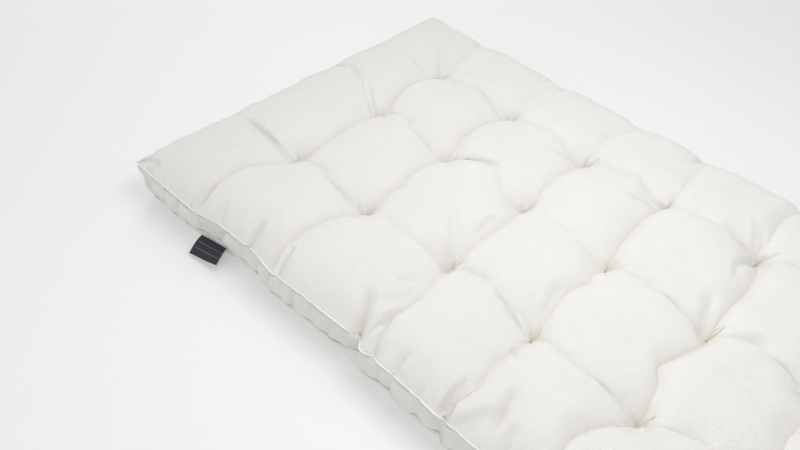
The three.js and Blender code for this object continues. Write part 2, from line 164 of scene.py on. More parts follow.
# Columns run along, from the head seam to the foot one
COLUMN_BENDS = [
    [(2, 1, 0, 0.92), (6, 2, -2, 0.76), (0, 0, 0, 0.86), (10, 11, 2, 0.74), (0, 0, 4, 0.80),
     (9, 12, 4, 0.78), (6, 10, 2, 0.78), (2, 4, 3, 0.84)],
    [(30, 24, 6, 0.84), (16, 9, 1, 0.78), (24, 24, 3, 0.80), (3, 2, 0, 0.92), (4, 4, 1, 0.78),
     (12, 14, 4, 0.76), (8, 9, 3, 0.78), (3, 5, 2, 0.84)],
    [(10, 6, -3, 0.92), (4, 12, 0, 0.76), (4, 13, 1, 0.80), (9, 20, 8, 0.78), (2, 3, 2, 0.90),
     (8, 13, 5, 0.78), (5, 9, 3, 0.80), (2, 3, 2, 0.86)],
]
# Steps in the valleys: the line's number, its stretch, the place on it and the step
ROW_KINKS = [(2, 1, 0.53, -8), (4, 1, 0.77, -13), (5, 1, 0.40, -11), (6, 2, 0.60, -8)]
COLUMN_KINKS = [(1, 1, 0.42, -10), (1, 3, 0.46, -8), (2, 1, 0.38, -9), (2, 2, 0.54, -12),
                (3, 1, 0.50, -5), (1, 5, 0.50, -8), (2, 5, 0.44, -9)]
KINK_WIDTH = 0.05
KINK_REACH = 0.13
BEND_FADE = 1.6


def bend_shift(share, quarter, half, three_quarters):
    """Sideways shift along one valley, zero at both ties."""
    both = (quarter + three_quarters) * math.sqrt(0.5)
    first = (half + both) / 2
    waves = (first, (quarter - three_quarters) / 2, first - half)
    return sum(size * np.sin((k + 1) * math.pi * share) for k, size in enumerate(waves))


def line_shift(cells, share, bends, kinks, line):
    """Shift of one whole line of valleys at each cell and share along it."""
    shift = np.zeros_like(share)
    for stretch, (quarter, half, three_quarters, floor) in enumerate(bends[line - 1]):
        here = cells == stretch
        shift[here] = bend_shift(share[here], quarter, half, three_quarters)
    for kink_line, stretch, place, step in kinks:
        if kink_line == line:
            away = share - place
            jog = step / 2 * np.tanh(away / KINK_WIDTH) * np.exp(-((away / KINK_REACH) ** 2))
            shift += np.where(cells == stretch, jog, 0)
    return shift


def faded(share):
    """1 on the line, 0 at the next one."""
    return np.clip(1 - share, 0, 1) ** BEND_FADE


# %% From net numbers to places
SIDE_DRAWS = {"head": (0, 3), "foot": (2, 4), "far": (3, 8)}  # (even, at each line of ties)
DRAW_REACH = 90.0
SCALLOP_REACH = 30.0
DRAW_FADE = 4
# The near seam: place along it, and how far it stands out past an even edge
NEAR_SEAM = [(-660, 5), (-575, 4), (-519, 2), (-455, -7), (-390, -9), (-334, -3), (-255, -5),
             (-168, -9), (-148, -1), (-65, 1), (30, 3), (160, -5), (240, 1), (325, -6),
             (410, 0), (495, -5), (580, 2), (660, 3)]
SEAM_ENDS = {
    "near": NET[1:-1, 0, 0],
    "far": NET[1:-1, -1, 0],
    "head": NET[0, 1:-1, 1],
    "foot": NET[-1, 1:-1, 1],
}


def bell(distance, reach):
    return np.exp(-((distance / reach) ** 2))


def split(numbers, count):
    """Cell number and share inside it."""
    cells = np.minimum(np.floor(numbers + 1e-9), count - 1).astype(int)
    return cells, numbers - cells


def even_plan(u, v):
    i, s = split(u, U_CELLS)
    j, t = split(v, V_CELLS)
    s4, t4 = s[..., None], t[..., None]
    low_side = NET[i, j] * (1 - s4) + NET[i + 1, j] * s4
    high_side = NET[i, j + 1] * (1 - s4) + NET[i + 1, j + 1] * s4
    return low_side * (1 - t4) + high_side * t4


def bent_plan(u, v):
    place = even_plan(u, v)
    i, s = split(u, U_CELLS)
    j, t = split(v, V_CELLS)
    for line in range(1, U_CELLS):
        share = np.where(i == line, s, np.where(i == line - 1, 1 - s, 1.0))
        place[..., 0] += faded(share) * line_shift(j, t, ROW_BENDS, ROW_KINKS, line)
    for line in range(1, V_CELLS):
        share = np.where(j == line, t, np.where(j == line - 1, 1 - t, 1.0))
        place[..., 1] += faded(share) * line_shift(i, s, COLUMN_BENDS, COLUMN_KINKS, line)
    return place


def draw_in(side, along, half_length):
    even, scallop = SIDE_DRAWS[side]
    drawn = even * (1 - bell(half_length - np.abs(along), DRAW_REACH))
    for end in SEAM_ENDS[side]:
        drawn = drawn + scallop * bell(along - end, SCALLOP_REACH)
    return drawn


def near_seam_out(x):
    places = np.array(NEAR_SEAM, float)
    k = np.clip(np.searchsorted(places[:, 0], x, side="right") - 1, 0, len(places) - 2)
    share = np.clip((x - places[k, 0]) / (places[k + 1, 0] - places[k, 0]), 0, 1)
    share = share * share * (3 - 2 * share)
    return places[k, 1] * (1 - share) + places[k + 1, 1] * share


def plan(u, v):
    """Where a point of the net lies, in millimetres in the pad's frame."""
    place = bent_plan(u, v)
    x, y = place[..., 0], place[..., 1]
    draw_x = np.where(x < 0, draw_in("head", y, WIDTH / 2), draw_in("foot", y, WIDTH / 2))
    draw_y = np.where(y < 0, -near_seam_out(x), draw_in("far", x, LENGTH / 2))
    share_x = np.abs(x) / (LENGTH / 2)
    share_y = np.abs(y) / (WIDTH / 2)
    return np.stack([
        x - draw_x * np.sign(x) * share_x ** DRAW_FADE,
        y - draw_y * np.sign(y) * share_y ** DRAW_FADE,
    ], -1)


TIES = [(i, j) for i in range(1, U_CELLS) for j in range(1, V_CELLS)]


def plan_at(u, v):
    """The place of one point of the net."""
    return plan(np.array([float(u)]), np.array([float(v)]))[0]


def near_ties(places, reach):
    """1 at every tie, falling to 0 within a reach of it."""
    nearness = np.zeros(places.shape[:-1])
    for i, j in TIES:
        tie = plan_at(i, j)
        gap = np.hypot(places[..., 0] - tie[0], places[..., 1] - tie[1])
        nearness = np.maximum(nearness, bell(gap, reach))
    return nearness


# %% [markdown]
# ### Heights of the top
# A pillow is a product of two rounded humps, one along and one across. Its floor is at
# the tie, its valleys stand part of the way up, and towards the seam the top rolls
# over. The cotton was pushed towards the head, so each pillow is lopsided: a crisp edge
# at its head side, and a softer slope down to the next valley at its foot side.

# %% Heights
TOP_SEAM = 63.0
BOTTOM_SEAM = 17.0
CROWN = 93.0
TIE_FLOOR = 60.0
# How far from its seam each side of the top takes to reach its height
EDGE_ROLLS = {"near": 72.0, "far": 48.0, "head": 40.0, "foot": 50.0}
EDGE_ROUNDNESS = 2.8
# Width and sharpness of the slope on each side of a row, and of a column, in millimetres;
# at a tie each slope is wider, which makes the funnel that the thread pulls
RISE_ROLL, RISE_FUNNEL, RISE_POWER = 15.0, 14.0, 2.4
FALL_ROLL, FALL_FUNNEL, FALL_POWER = 42.0, 50.0, 1.8
COLUMN_ROLL, COLUMN_FUNNEL, COLUMN_POWER = 26.0, 30.0, 2.0
FUNNEL_REACH = 46.0
CROWN_SHARE = 0.08
ROW_DEPTH, COLUMN_DEPTH = 0.82, 0.68  # shares of the depth that the tables of bends give
UNEVEN = 0.04  # how much one pillow is fuller than another
FAR_OFF = 1000.0
NET_X = np.array([-LENGTH / 2, *TIE_ROWS, LENGTH / 2])
NET_Y = np.array([-WIDTH / 2, *TIE_COLUMNS, WIDTH / 2])
CORNER_FILL = 3.0
SEAM_DIP = 3.0
CORNER_LIFT = 3.0
CORNER_REACH = 45.0


def side_of(x, y):
    near_or_far = WIDTH / 2 - np.abs(y) < LENGTH / 2 - np.abs(x)
    return np.where(near_or_far, np.where(y < 0, 0, 2), np.where(x < 0, 3, 1))


SIDE_NAMES = ["near", "foot", "far", "head"]


def from_corner(x, y):
    return np.hypot(LENGTH / 2 - np.abs(x), WIDTH / 2 - np.abs(y))


def shoulder(distance, roll, power):
    """0 on a line and 1 from a roll's width away, steepest at the line."""
    return 1 - (1 - np.clip(distance / roll, 0, 1)) ** power


def line_gaps(numbers, places):
    """Distances to the lines of ties before and after, in millimetres; far off where none is."""
    cells, share = split(numbers, len(places) - 1)
    size = np.diff(places)[cells]
    before = np.where(cells > 0, share * size, FAR_OFF)
    after = np.where(cells < len(places) - 2, (1 - share) * size, FAR_OFF)
    return cells, share, before, after


def floors(line_cells, line_share, stretch, bends, depth):
    """Height share of the valley floors beside a point, from one line to the next."""
    table = 1 - depth * (1 - np.array([[b[3] for b in line] for line in bends]))
    before = np.clip(line_cells - 1, 0, len(bends) - 1)
    after = np.clip(line_cells, 0, len(bends) - 1)
    return table[before, stretch] * (1 - line_share) + table[after, stretch] * line_share


def pillow(u, v):
    i, s, from_row, to_row = line_gaps(u, NET_X)
    j, t, from_column, to_column = line_gaps(v, NET_Y)
    row_tie = bell(np.minimum(from_column, to_column), FUNNEL_REACH)
    column_tie = bell(np.minimum(from_row, to_row), FUNNEL_REACH)
    a = shoulder(from_row, RISE_ROLL + RISE_FUNNEL * row_tie, RISE_POWER)
    a = a * shoulder(to_row, FALL_ROLL + FALL_FUNNEL * row_tie, FALL_POWER)
    column_roll = COLUMN_ROLL + COLUMN_FUNNEL * column_tie
    b = shoulder(from_column, column_roll, COLUMN_POWER) * shoulder(to_column, column_roll, COLUMN_POWER)
    row_floor = floors(i, s, j, ROW_BENDS, ROW_DEPTH)
    column_floor = floors(j, t, i, COLUMN_BENDS, COLUMN_DEPTH)
    rise = row_floor * b + column_floor * a + (1 - row_floor - column_floor) * a * b
    crown = 1 - CROWN_SHARE + CROWN_SHARE * np.sin(math.pi * s) * np.sin(math.pi * t)
    uneven = UNEVEN * np.sin(2.3 * i + 1.7 * j)
    return rise * (crown + uneven * a * b)


def edge_rise(distance, low_side, high_side, place):
    """0 at the seam and 1 where the top has its height, from the sides' own rolls."""
    roll = np.where(place < 0, EDGE_ROLLS[low_side], EDGE_ROLLS[high_side])
    share = np.clip(distance / roll, 0, 1)
    return 1 - (1 - share) ** EDGE_ROUNDNESS


def seam_height(x, y):
    side = side_of(x, y)
    dip = np.zeros_like(x)
    for number, name in enumerate(SIDE_NAMES):
        along = x if name in ("near", "far") else y
        for end in SEAM_ENDS[name]:
            dip = np.maximum(dip, np.where(side == number, bell(along - end, SCALLOP_REACH), 0))
    return TOP_SEAM - SEAM_DIP * dip + CORNER_LIFT * bell(from_corner(x, y), CORNER_REACH)


def top_height(u, v):
    even = even_plan(u, v)
    x, y = even[..., 0], even[..., 1]
    short_end = 1 - edge_rise(LENGTH / 2 - np.abs(x), "head", "foot", x)
    short_side = 1 - edge_rise(WIDTH / 2 - np.abs(y), "near", "far", y)
    rise = 1 - np.minimum(1, (short_end ** CORNER_FILL + short_side ** CORNER_FILL) ** (1 / CORNER_FILL))
    filled = TIE_FLOOR + (CROWN - TIE_FLOOR) * pillow(u, v)
    return seam_height(x, y) * (1 - rise) + filled * rise


# %% The lines of the net
U_STEPS = 44  # lines from one row to the next
V_STEPS = 48
CROWDING = 0.62  # how much closer the lines lie beside a valley


def net_lines(cells, steps):
    places = np.arange(steps) / steps
    inside = places - CROWDING * np.sin(2 * math.pi * places) / (2 * math.pi)
    return np.concatenate([*(cell + inside for cell in range(cells)), [cells]])


U_LINES = net_lines(U_CELLS, U_STEPS)
V_LINES = net_lines(V_CELLS, V_STEPS)
U_GRID, V_GRID = np.meshgrid(U_LINES, V_LINES, indexing="ij")
TOP_PLAN = plan(U_GRID, V_GRID)
TOP = np.concatenate([TOP_PLAN, top_height(U_GRID, V_GRID)[..., None]], -1)
print("net of the top:", TOP.shape[:2], "highest, mm:", round(float(TOP[..., 2].max()), 1))

# %% [markdown]
# ### Creases
# Where the cotton is drawn down to a tie or gathered into the seam, it folds. Each
# crease is a short path over the net: a trough of some depth and width, with a raised
# lip on its left, its right or both, and it is steeper on the side of the higher one. A
# negative depth makes a ridge. The creases of the end in view are set one by one, and a
# seeded draw adds the small ones round every tie and along the seams. A bump map would
# only shade them, so they are real relief.

# %% How a crease is pressed into the net
PATH_STEPS = 14
CREASE_LEAN = 0.5  # how much steeper a crease is on the side of its higher lip
# In widths of the crease: how far it is worked out, where its lips stand, and their width
CREASE_REACH, LIP_AWAY, LIP_WIDE = 4.2, 1.6, 0.9
TAPER = 0.3  # the share of its length in which it fades out at each end


def smooth_path(points):
    """Points of an open path through the given ones, as a Catmull-Rom curve."""
    p = np.array(points, float)
    if len(p) == 2:
        p = np.array([p[0], (p[0] + p[1]) / 2, p[1]])
    p = np.vstack([2 * p[0] - p[1], p, 2 * p[-1] - p[-2]])
    made = []
    for k in range(1, len(p) - 2):
        t = np.linspace(0, 1, PATH_STEPS, endpoint=False)[:, None]
        a, b, c, d = p[k - 1:k + 3]
        made.append(0.5 * (2 * b + (c - a) * t + (2 * a - 5 * b + 4 * c - d) * t ** 2
                           + (3 * b - a - 3 * c + d) * t ** 3))
    return np.vstack([*made, p[-2]])


def ease(share):
    share = np.clip(share, 0, 1)
    return share * share * (3 - 2 * share)


def crease(places, points, depth, width, left=0.0, right=0.0, ends=(0.0, 0.0), widen=0.0):
    """Height that one crease adds at places, an array of flat coordinates."""
    path = smooth_path(points)
    reach = CREASE_REACH * width * (1 + abs(widen))
    low_corner, high_corner = path.min(0) - reach, path.max(0) + reach
    near = np.all((places > low_corner) & (places < high_corner), -1)
    added = np.zeros(places.shape[:-1])
    spots = places[near]
    if not len(spots):
        return added
    step = path[1:] - path[:-1]
    size = np.linalg.norm(step, axis=1)
    start = np.concatenate([[0], np.cumsum(size)[:-1]])
    away = spots[:, None] - path[None, :-1]
    along = np.clip((away * step).sum(-1) / size ** 2, 0, 1)
    gap = away - along[..., None] * step
    distance = np.hypot(gap[..., 0], gap[..., 1])
    best = distance.argmin(1)
    row = np.arange(len(spots))
    share = (start[best] + along[row, best] * size[best]) / size.sum()
    side = np.sign(step[best, 0] * gap[row, best, 1] - step[best, 1] * gap[row, best, 0])
    lean = (left - right) / max(left + right, 1e-6) if left or right else 0
    wide = width * (1 + widen * share) * (1 - CREASE_LEAN * lean * side)
    off = distance[row, best] * side / wide
    shape = -depth * np.exp(-off ** 2)
    shape += left * np.exp(-((off - LIP_AWAY) / LIP_WIDE) ** 2)
    shape += right * np.exp(-((off + LIP_AWAY) / LIP_WIDE) ** 2)
    first, last = ends
    fade_in = first + (1 - first) * ease(share / TAPER)
    fade_out = last + (1 - last) * ease((1 - share) / TAPER)
    added[near] = shape * fade_in * fade_out
    return added


def valley_path(kind, line, stretch, first, last):
    """Points along a valley, from share to share of one stretch."""
    share = np.linspace(first, last, 7)
    line_number = np.full(7, float(line))
    u, v = (line_number, stretch + share) if kind == "row" else (stretch + share, line_number)
    return plan(u, v)


# %% The creases of the end in view
# Each row: depth, width, left lip, right lip, depth at the start and at the end, points
SEEN_CREASES = [
    (3.4, 7, 0.4, 1.6, 0.6, 0, [(-500, -181), (-560, -178), (-622, -179)]),
    (1.4, 5, 0.3, 0.5, 0, 0, [(-633, -174), (-600, -154)]),
    (1.8, 10, 0.4, 0.4, 0.5, 0, [(-495, -192), (-540, -217), (-592, -266)]),
    (2.2, 5, 1.0, 0.8, 0, 0.6, [(-516, -296), (-513, -322), (-508, -348)]),
    (1.2, 4, 0.5, 0.3, 0, 0.6, [(-532, -322), (-522, -344)]),
    (3.4, 5, 0.4, 1.2, 0.8, 0, [(-487, 12), (-521, 31), (-560, 62)]),
    (3.0, 5, 0.6, 2.2, 0.6, 0, [(-652, 50), (-632, 66), (-606, 68), (-577, 52)]),
    (1.4, 4, 0.3, 0.3, 0.7, 0, [(-497, 6), (-534, -4), (-552, -14)]),
    (2.8, 5, 0.8, 0.6, 0.8, 0, [(-487, 178), (-517, 212), (-556, 254)]),
    (1.5, 6, 0.5, 0.3, 0.6, 0, [(-494, 168), (-534, 176), (-594, 197)]),
    (1.6, 5, 0.4, 0.5, 0, 0.6, [(-480, -316), (-466, -336), (-458, -354)]),
    (5.2, 5, 2.0, 0.6, 0, 1, [(-399, -306), (-398, -333), (-394, -358)]),
    (-2.0, 7, 0, 0, 0.8, 0, [(-402, -354), (-422, -326), (-442, -288)]),
    (1.2, 5, 0.3, 0.3, 0, 0.3, [(-370, -290), (-364, -316), (-356, -336)]),
    (4.8, 5, 0.8, 2.0, 0, 1, [(-336, -306), (-331, -336), (-324, -360)]),
    (2.2, 7, 0.5, 0.7, 0.4, 0.5, [(-313, 293), (-300, 312), (-288, 336)]),
    (3.4, 5, 0.4, 1.4, 0.5, 0, [(-306, 12), (-272, 35), (-248, 43), (-226, 44)]),
    (1.3, 5, 0.4, 0.4, 0, 0.6, [(-240, 20), (-205, 4), (-172, 6)]),
    (2.2, 5, 0, 1.9, 0, 0.5, [(-224, 140), (-192, 152), (-168, 166)]),
    (2.8, 6, 1.0, 0.6, 0.3, 0.7, [(-38, 284), (-30, 300), (-20, 326)]),
    (3.2, 7, 0, 3.2, 0, 0.4, [(-58, 140), (-40, 152), (-16, 163)]),
    (4.4, 9, 0.6, 1.8, 0.9, 0, [(-166, -166), (-195, -136), (-232, -90)]),
    (2.0, 6, 2.0, 0, 0.2, 0, [(-172, -100), (-176, -72), (-172, -44)]),
    (2.2, 6, 0.5, 0.7, 0.6, 0, [(6, 0), (37, 20), (78, 33)]),
    (3.2, 7, 0.8, 0.4, 0.7, 0, [(142, 178), (106, 190), (72, 204)]),
    (-2.2, 6, 0, 0, 0.5, 0, [(138, 184), (118, 208), (96, 246)]),
    (4.2, 9, 0.5, 1.4, 0.9, 0, [(158, -10), (146, 18), (131, 60)]),
    (4.2, 6, 0.6, 3.4, 0.8, 0, [(146, 172), (134, 146), (132, 124), (142, 100)]),
    (3.0, 8, 0.6, 0.6, 0.6, 0, [(-12, -150), (-20, -118), (-27, -88)]),
    (2.6, 4, 0.8, 1.0, 0.2, 0, [(-12, -218), (-1, -232), (10, -246)]),
    (8.0, 9, 3.4, 1.4, 0, 1, [(-206, -280), (-184, -322), (-166, -358)]),
    (5.2, 6, 1.6, 2.8, 0, 0.9, [(-156, -292), (-146, -328), (-134, -360)]),
    (-4.8, 9, 0, 0, 0, 0, [(-180, -290), (-174, -270), (-164, -246)]),
    (3.6, 6, 0.8, 1.2, 0, 0, [(-192, -262), (-182, -240), (-170, -224)]),
    (-2.6, 5, 0, 0, 0, 0.3, [(-172, -322), (-160, -292), (-152, -270)]),
    (5.6, 6, 1.2, 2.6, 0, 0.9, [(-18, -300), (-18, -334), (-10, -362)]),
    (3.0, 9, 0.4, 1.4, 0.3, 0.8, [(40, -316), (22, -336), (6, -356)]),
    (6.4, 7, 1.0, 2.6, 0.1, 0.2, [(34, -270), (39, -304), (49, -340)]),
    (3.0, 6, 0.8, 0.8, 0, 0.8, [(66, -312), (70, -336), (74, -356)]),
    (2.0, 8, 0.6, 0.4, 0, 0.2, [(-229, -258), (-216, -285), (-203, -318)]),
    (1.6, 7, 0.4, 0.6, 0, 0, [(-230, -230), (-206, -222), (-180, -212)]),
    (2.2, 5, 0.6, 0.6, 0, 0.8, [(-92, -322), (-96, -340), (-98, -358)]),
    (1.8, 6, 0.5, 0.5, 0, 0.8, [(-66, -300), (-56, -330), (-50, -356)]),
    (1.6, 6, 0.4, 0.4, 0, 0, [(196, -60), (236, -76), (276, -84)]),
    (1.8, 8, 0.5, 0.5, 0, 0, [(190, 10), (230, 22), (270, 26)]),
    (3.0, 3.6, 0.6, 0.2, 0.9, 0, [(-655, -350), (-650, -336), (-646, -318), (-644, -300)]),
    (2.2, 3.4, 0.4, 0.2, 0.9, 0, [(-650, -350), (-634, -345), (-612, -342)]),
    (2.4, 4.0, 0.4, 0.4, 0.9, 0, [(-652, 347), (-644, 330), (-640, 306)]),
]
SEEN_DEPTH = 1.4  # the depths and lips of that table are multiplied by this
print("creases set by hand:", len(SEEN_CREASES))

# %% The small creases, from a seeded draw
SEED = 20
draw = np.random.default_rng(SEED)
TIE_CREASES = 7
TIE_CREASE_START = 5  # millimetres from the tie
TIE_CREASE_LENGTHS = (20, 46)
TIE_CREASE_DEPTHS = (0.7, 1.9)
TIE_CREASE_WIDTH = 2.4
SEAM_CREASE_MARGIN = 30
SEAM_CREASE_STEPS = (16, 44)
SEAM_CREASE_LENGTHS = (9, 30)
SEAM_CREASE_WIDTHS = (2.6, 4.6)
SEAM_CREASE_DEPTHS = (0.7, 2.2)
END_FOLD_LENGTHS = (34, 58)
END_FOLD_WIDTHS = (4.5, 6.5)
END_FOLD_DEPTHS = (2.0, 3.6)
TIE_LIP_SHARE, SEAM_LIP_SHARE = 0.3, 0.4  # height of the lips beside a small crease, of its depth
END_FOLD_LIP = 0.9  # millimetres
# Each side of the pad: its name, its length and the way that leads in from its seam
SIDES_IN = (
    ("near", LENGTH, (0, 1)), ("foot", WIDTH, (-1, 0)), ("far", LENGTH, (0, -1)), ("head", WIDTH, (1, 0)),
)


def tie_creases():
    """Short creases that run out from every tie."""
    made = []
    for i, j in TIES:
        tie = plan_at(i, j)
        turn = draw.uniform(0, 2 * math.pi)
        for k in range(TIE_CREASES):
            angle = turn + 2 * math.pi * (k + draw.uniform(-0.3, 0.3)) / TIE_CREASES
            length = draw.uniform(*TIE_CREASE_LENGTHS)
            curl = angle + draw.uniform(-0.35, 0.35)
            ray = np.array([math.cos(angle), math.sin(angle)])
            start = tie + TIE_CREASE_START * ray
            middle = tie + length / 2 * ray
            end = middle + length / 2 * np.array([math.cos(curl), math.sin(curl)])
            depth = draw.uniform(*TIE_CREASE_DEPTHS)
            lip = depth * TIE_LIP_SHARE
            made.append((depth, TIE_CREASE_WIDTH, lip, lip, 0.9, 0, [start, middle, end]))
    return made


def seam_creases():
    """Small gathers along the whole top seam, square to it."""
    made = []
    for name, length, inward in SIDES_IN:
        along = -length / 2 + SEAM_CREASE_MARGIN
        while along < length / 2 - SEAM_CREASE_MARGIN:
            u, v = (along / LENGTH + 0.5) * U_CELLS, (along / WIDTH + 0.5) * V_CELLS
            u, v = {"near": (u, 0), "foot": (U_CELLS, v), "far": (u, V_CELLS), "head": (0, v)}[name]
            edge = plan_at(u, v)
            reach = draw.uniform(*SEAM_CREASE_LENGTHS)
            lean = draw.uniform(-0.3, 0.3)
            inner = edge + reach * (np.array(inward, float) + lean * np.array([inward[1], inward[0]]))
            depth = draw.uniform(*SEAM_CREASE_DEPTHS)
            width = draw.uniform(*SEAM_CREASE_WIDTHS)
            lip = depth * SEAM_LIP_SHARE
            made.append((depth, width, lip, lip, 0.8, 0, [edge, inner]))
            along += draw.uniform(*SEAM_CREASE_STEPS)
    return made


def line_end_creases():
    """A pair of folds where each line of ties meets a seam that isn't set one by one."""
    made = []
    ends = [("row", i, 3, 1.0) for i in range(1, U_CELLS)] + [("row", i, 0, 0.0) for i in (6, 7)]
    ends += [("column", j, U_CELLS - 1, 1.0) for j in range(1, V_CELLS)]
    for kind, line, stretch, last in ends:
        path = valley_path(kind, line, stretch, abs(last - 0.42), abs(last - 0.02))
        inward = (path[0] - path[-1]) / np.linalg.norm(path[0] - path[-1])
        aside = np.array([-inward[1], inward[0]])
        for turn in (-1, 1):
            spread = draw.uniform(10, 20) * turn
            long = draw.uniform(*END_FOLD_LENGTHS)
            start = path[-1] + aside * spread * 0.5
            middle = path[-1] + inward * long * 0.5 + aside * spread
            end = path[-1] + inward * long + aside * spread * draw.uniform(0.8, 1.6)
            depth = draw.uniform(*END_FOLD_DEPTHS)
            width = draw.uniform(*END_FOLD_WIDTHS)
            made.append((depth, width, END_FOLD_LIP, END_FOLD_LIP, 0.7, 0, [start, middle, end]))
    return made


# The largest folds along a valley, in millimetres, and what each fold has of that depth,
# with its width and how far it lies beside the valley
VALLEY_FOLD = 3.2
VALLEY_RIDGE = (-0.55, 2.4, -5.5)
VALLEY_TROUGH = (0.75, 3.0, 0)
FIRST_TROUGH = (0.8, 3.4, 0.3)  # along the valley's first half: depth, width, right lip
FULL_FLOOR, FLOOR_SPAN = 0.95, 0.2  # the deeper a valley's floor, the larger its folds


def valley_lips():
    """The thin fold that runs beside the second half of each valley along the mattress."""
    made = []
    for line in range(1, V_CELLS):
        for stretch in range(1, U_CELLS - 1):
            floor = COLUMN_BENDS[line - 1][stretch][3]
            size = VALLEY_FOLD * (FULL_FLOOR - floor) / FLOOR_SPAN
            path = valley_path("column", line, stretch, 0.45, 0.93)
            for (depth, width, aside), last in ((VALLEY_RIDGE, 0.5), (VALLEY_TROUGH, 0.6)):
                made.append((depth * size, width, 0, 0, 0.2, last, path + [0, aside]))
            first = valley_path("column", line, stretch, 0.05, 0.5)
            depth, width, right = FIRST_TROUGH
            made.append((depth * size, width, 0, right * size, 0.6, 0.0, first))
    return made


DRAWN_CREASES = tie_creases() + seam_creases() + line_end_creases() + valley_lips()
print("creases from the draw:", len(DRAWN_CREASES))


LUMP_WAVES = 24
LUMP_LENGTHS = (60, 170)
LUMP_HEIGHT = 0.2
LUMPS_START = 40  # this far in from the seam they have their full height


def lumps(places):
    """Soft unevenness of the cotton filling, as a sum of long waves."""
    height = np.zeros(places.shape[:-1])
    for _ in range(LUMP_WAVES):
        wavelength = draw.uniform(*LUMP_LENGTHS)
        turn = draw.uniform(0, 2 * math.pi)
        phase = draw.uniform(0, 2 * math.pi)
        along = places[..., 0] * math.cos(turn) + places[..., 1] * math.sin(turn)
        height += LUMP_HEIGHT * np.sin(2 * math.pi * along / wavelength + phase)
    return height


def top_relief(places):
    relief = np.zeros(places.shape[:-1])
    for depth, width, left, right, first, last, points in SEEN_CREASES:
        folds = np.array([depth, left, right]) * SEEN_DEPTH
        relief += crease(places, points, folds[0], width, folds[1], folds[2], (first, last))
    for depth, width, left, right, first, last, points in DRAWN_CREASES:
        relief += crease(places, points, depth, width, left, right, (first, last), widen=0.5)
    even = even_plan(U_GRID, V_GRID)
    to_edge = np.minimum(LENGTH / 2 - np.abs(even[..., 0]), WIDTH / 2 - np.abs(even[..., 1]))
    return relief + lumps(places) * ease(to_edge / LUMPS_START)


TOP_RELIEF = top_relief(TOP_PLAN)
print("relief of the top, mm:", round(float(TOP_RELIEF.min()), 1), "to", round(float(TOP_RELIEF.max()), 1))

# %% [markdown]
# ## The sides and the underside
# A band of cotton joins the two panels. It bulges a little between the seams and is
# creased upright where the ties pull the seams together. Below the lower seam the
# underside curls in and lies flat. The net of the top goes on down the sides as rings,
# so that the pad is one closed mesh, and under it every fourth line is enough.

# %% Places round the side
BAND_DOWNS = [0.03, 0.07, 0.13, 0.21, 0.3, 0.4, 0.5, 0.6, 0.7, 0.79, 0.87, 0.93, 0.97, 1.0]
BAND_RINGS = len(BAND_DOWNS)
SEAM_GROOVE = 3.6
CURL_RINGS = 5
BAND_BULGE = 5.0
CURL_IN = 24.0
UNDER_BULGE = 0.9
SIDE_DEPTH = 1.5  # the folds' depths and lips are multiplied by this
FACET_DEPTH = 3.6
FACET_STEPS = (14, 46)
SMALL_SIDE_FOLDS = 70
SIDE_WAVE_SIZE = 0.35
STATIONS = (
    [(i, 0) for i in range(len(U_LINES) - 1)]
    + [(len(U_LINES) - 1, j) for j in range(len(V_LINES) - 1)]
    + [(i, len(V_LINES) - 1) for i in range(len(U_LINES) - 1, 0, -1)]
    + [(0, j) for j in range(len(V_LINES) - 1, 0, -1)]
)
STATION_I, STATION_J = np.array(STATIONS).T
STATION_PLAN = TOP_PLAN[STATION_I, STATION_J]
STATION_SIDE = side_of(STATION_PLAN[:, 0], STATION_PLAN[:, 1])
STATION_ALONG = np.where(STATION_SIDE % 2 == 0, STATION_PLAN[:, 0], STATION_PLAN[:, 1])
# Where the lower seam is raised off the floor: place along the near side, height, reach
LABEL_LIFT = (-462, 13, 56)
SEAM_LIFTS = [(-174, 19, 20), (-98, 3, 24), (-20, 5, 24), (152, 4, 24), (332, 5, 26), (-560, 3, 22)]

print("places round the pad:", len(STATIONS))

# %% Folds of the side
# The near side's folds: place at the top seam, at the lower seam, depth, width, lips
NEAR_FOLDS = [
    (-596, -588, 1.6, 9, 0.5, 0.5), (-556, -548, 3.0, 9, 1.0, 0.6), (-512, -500, 2.4, 7, 0.6, 1.0),
    (-452, -446, 4.6, 8, 1.6, 1.0), (-424, -436, 2.0, 6, 0.6, 0.6), (-380, -372, 4.2, 8, 1.2, 1.6),
    (-344, -350, 2.0, 7, 0.8, 0.4), (-302, -292, 4.0, 7, 0.6, 1.8), (-262, -256, 1.8, 9, 0.6, 0.6),
    (-216, -226, 2.2, 8, 0.8, 0.4), (-163, -158, 9.0, 9, 3.4, 0.0), (-128, -120, 2.0, 7, 0.6, 0.8),
    (-98, -104, 3.8, 7, 1.4, 0.8), (-60, -52, 2.2, 6, 0.8, 0.8), (-20, -14, 4.4, 8, 1.4, 1.2),
    (20, 12, 2.2, 8, 0.6, 0.8), (60, 66, 3.2, 8, 1.0, 0.8), (104, 98, 2.0, 8, 0.6, 0.6),
    (152, 158, 4.2, 8, 1.2, 1.0), (196, 190, 2.0, 7, 0.6, 0.6), (235, 240, 2.8, 8, 0.8, 0.8),
    (284, 278, 2.0, 8, 0.6, 0.6), (332, 338, 4.2, 8, 1.2, 1.0), (380, 374, 2.0, 8, 0.6, 0.6),
    (430, 436, 2.8, 8, 0.8, 0.8), (500, 494, 4.0, 8, 1.0, 1.2), (556, 560, 2.4, 8, 0.6, 0.6),
]


MIDDLE_HEIGHT = 40  # where the folds of the near side bend


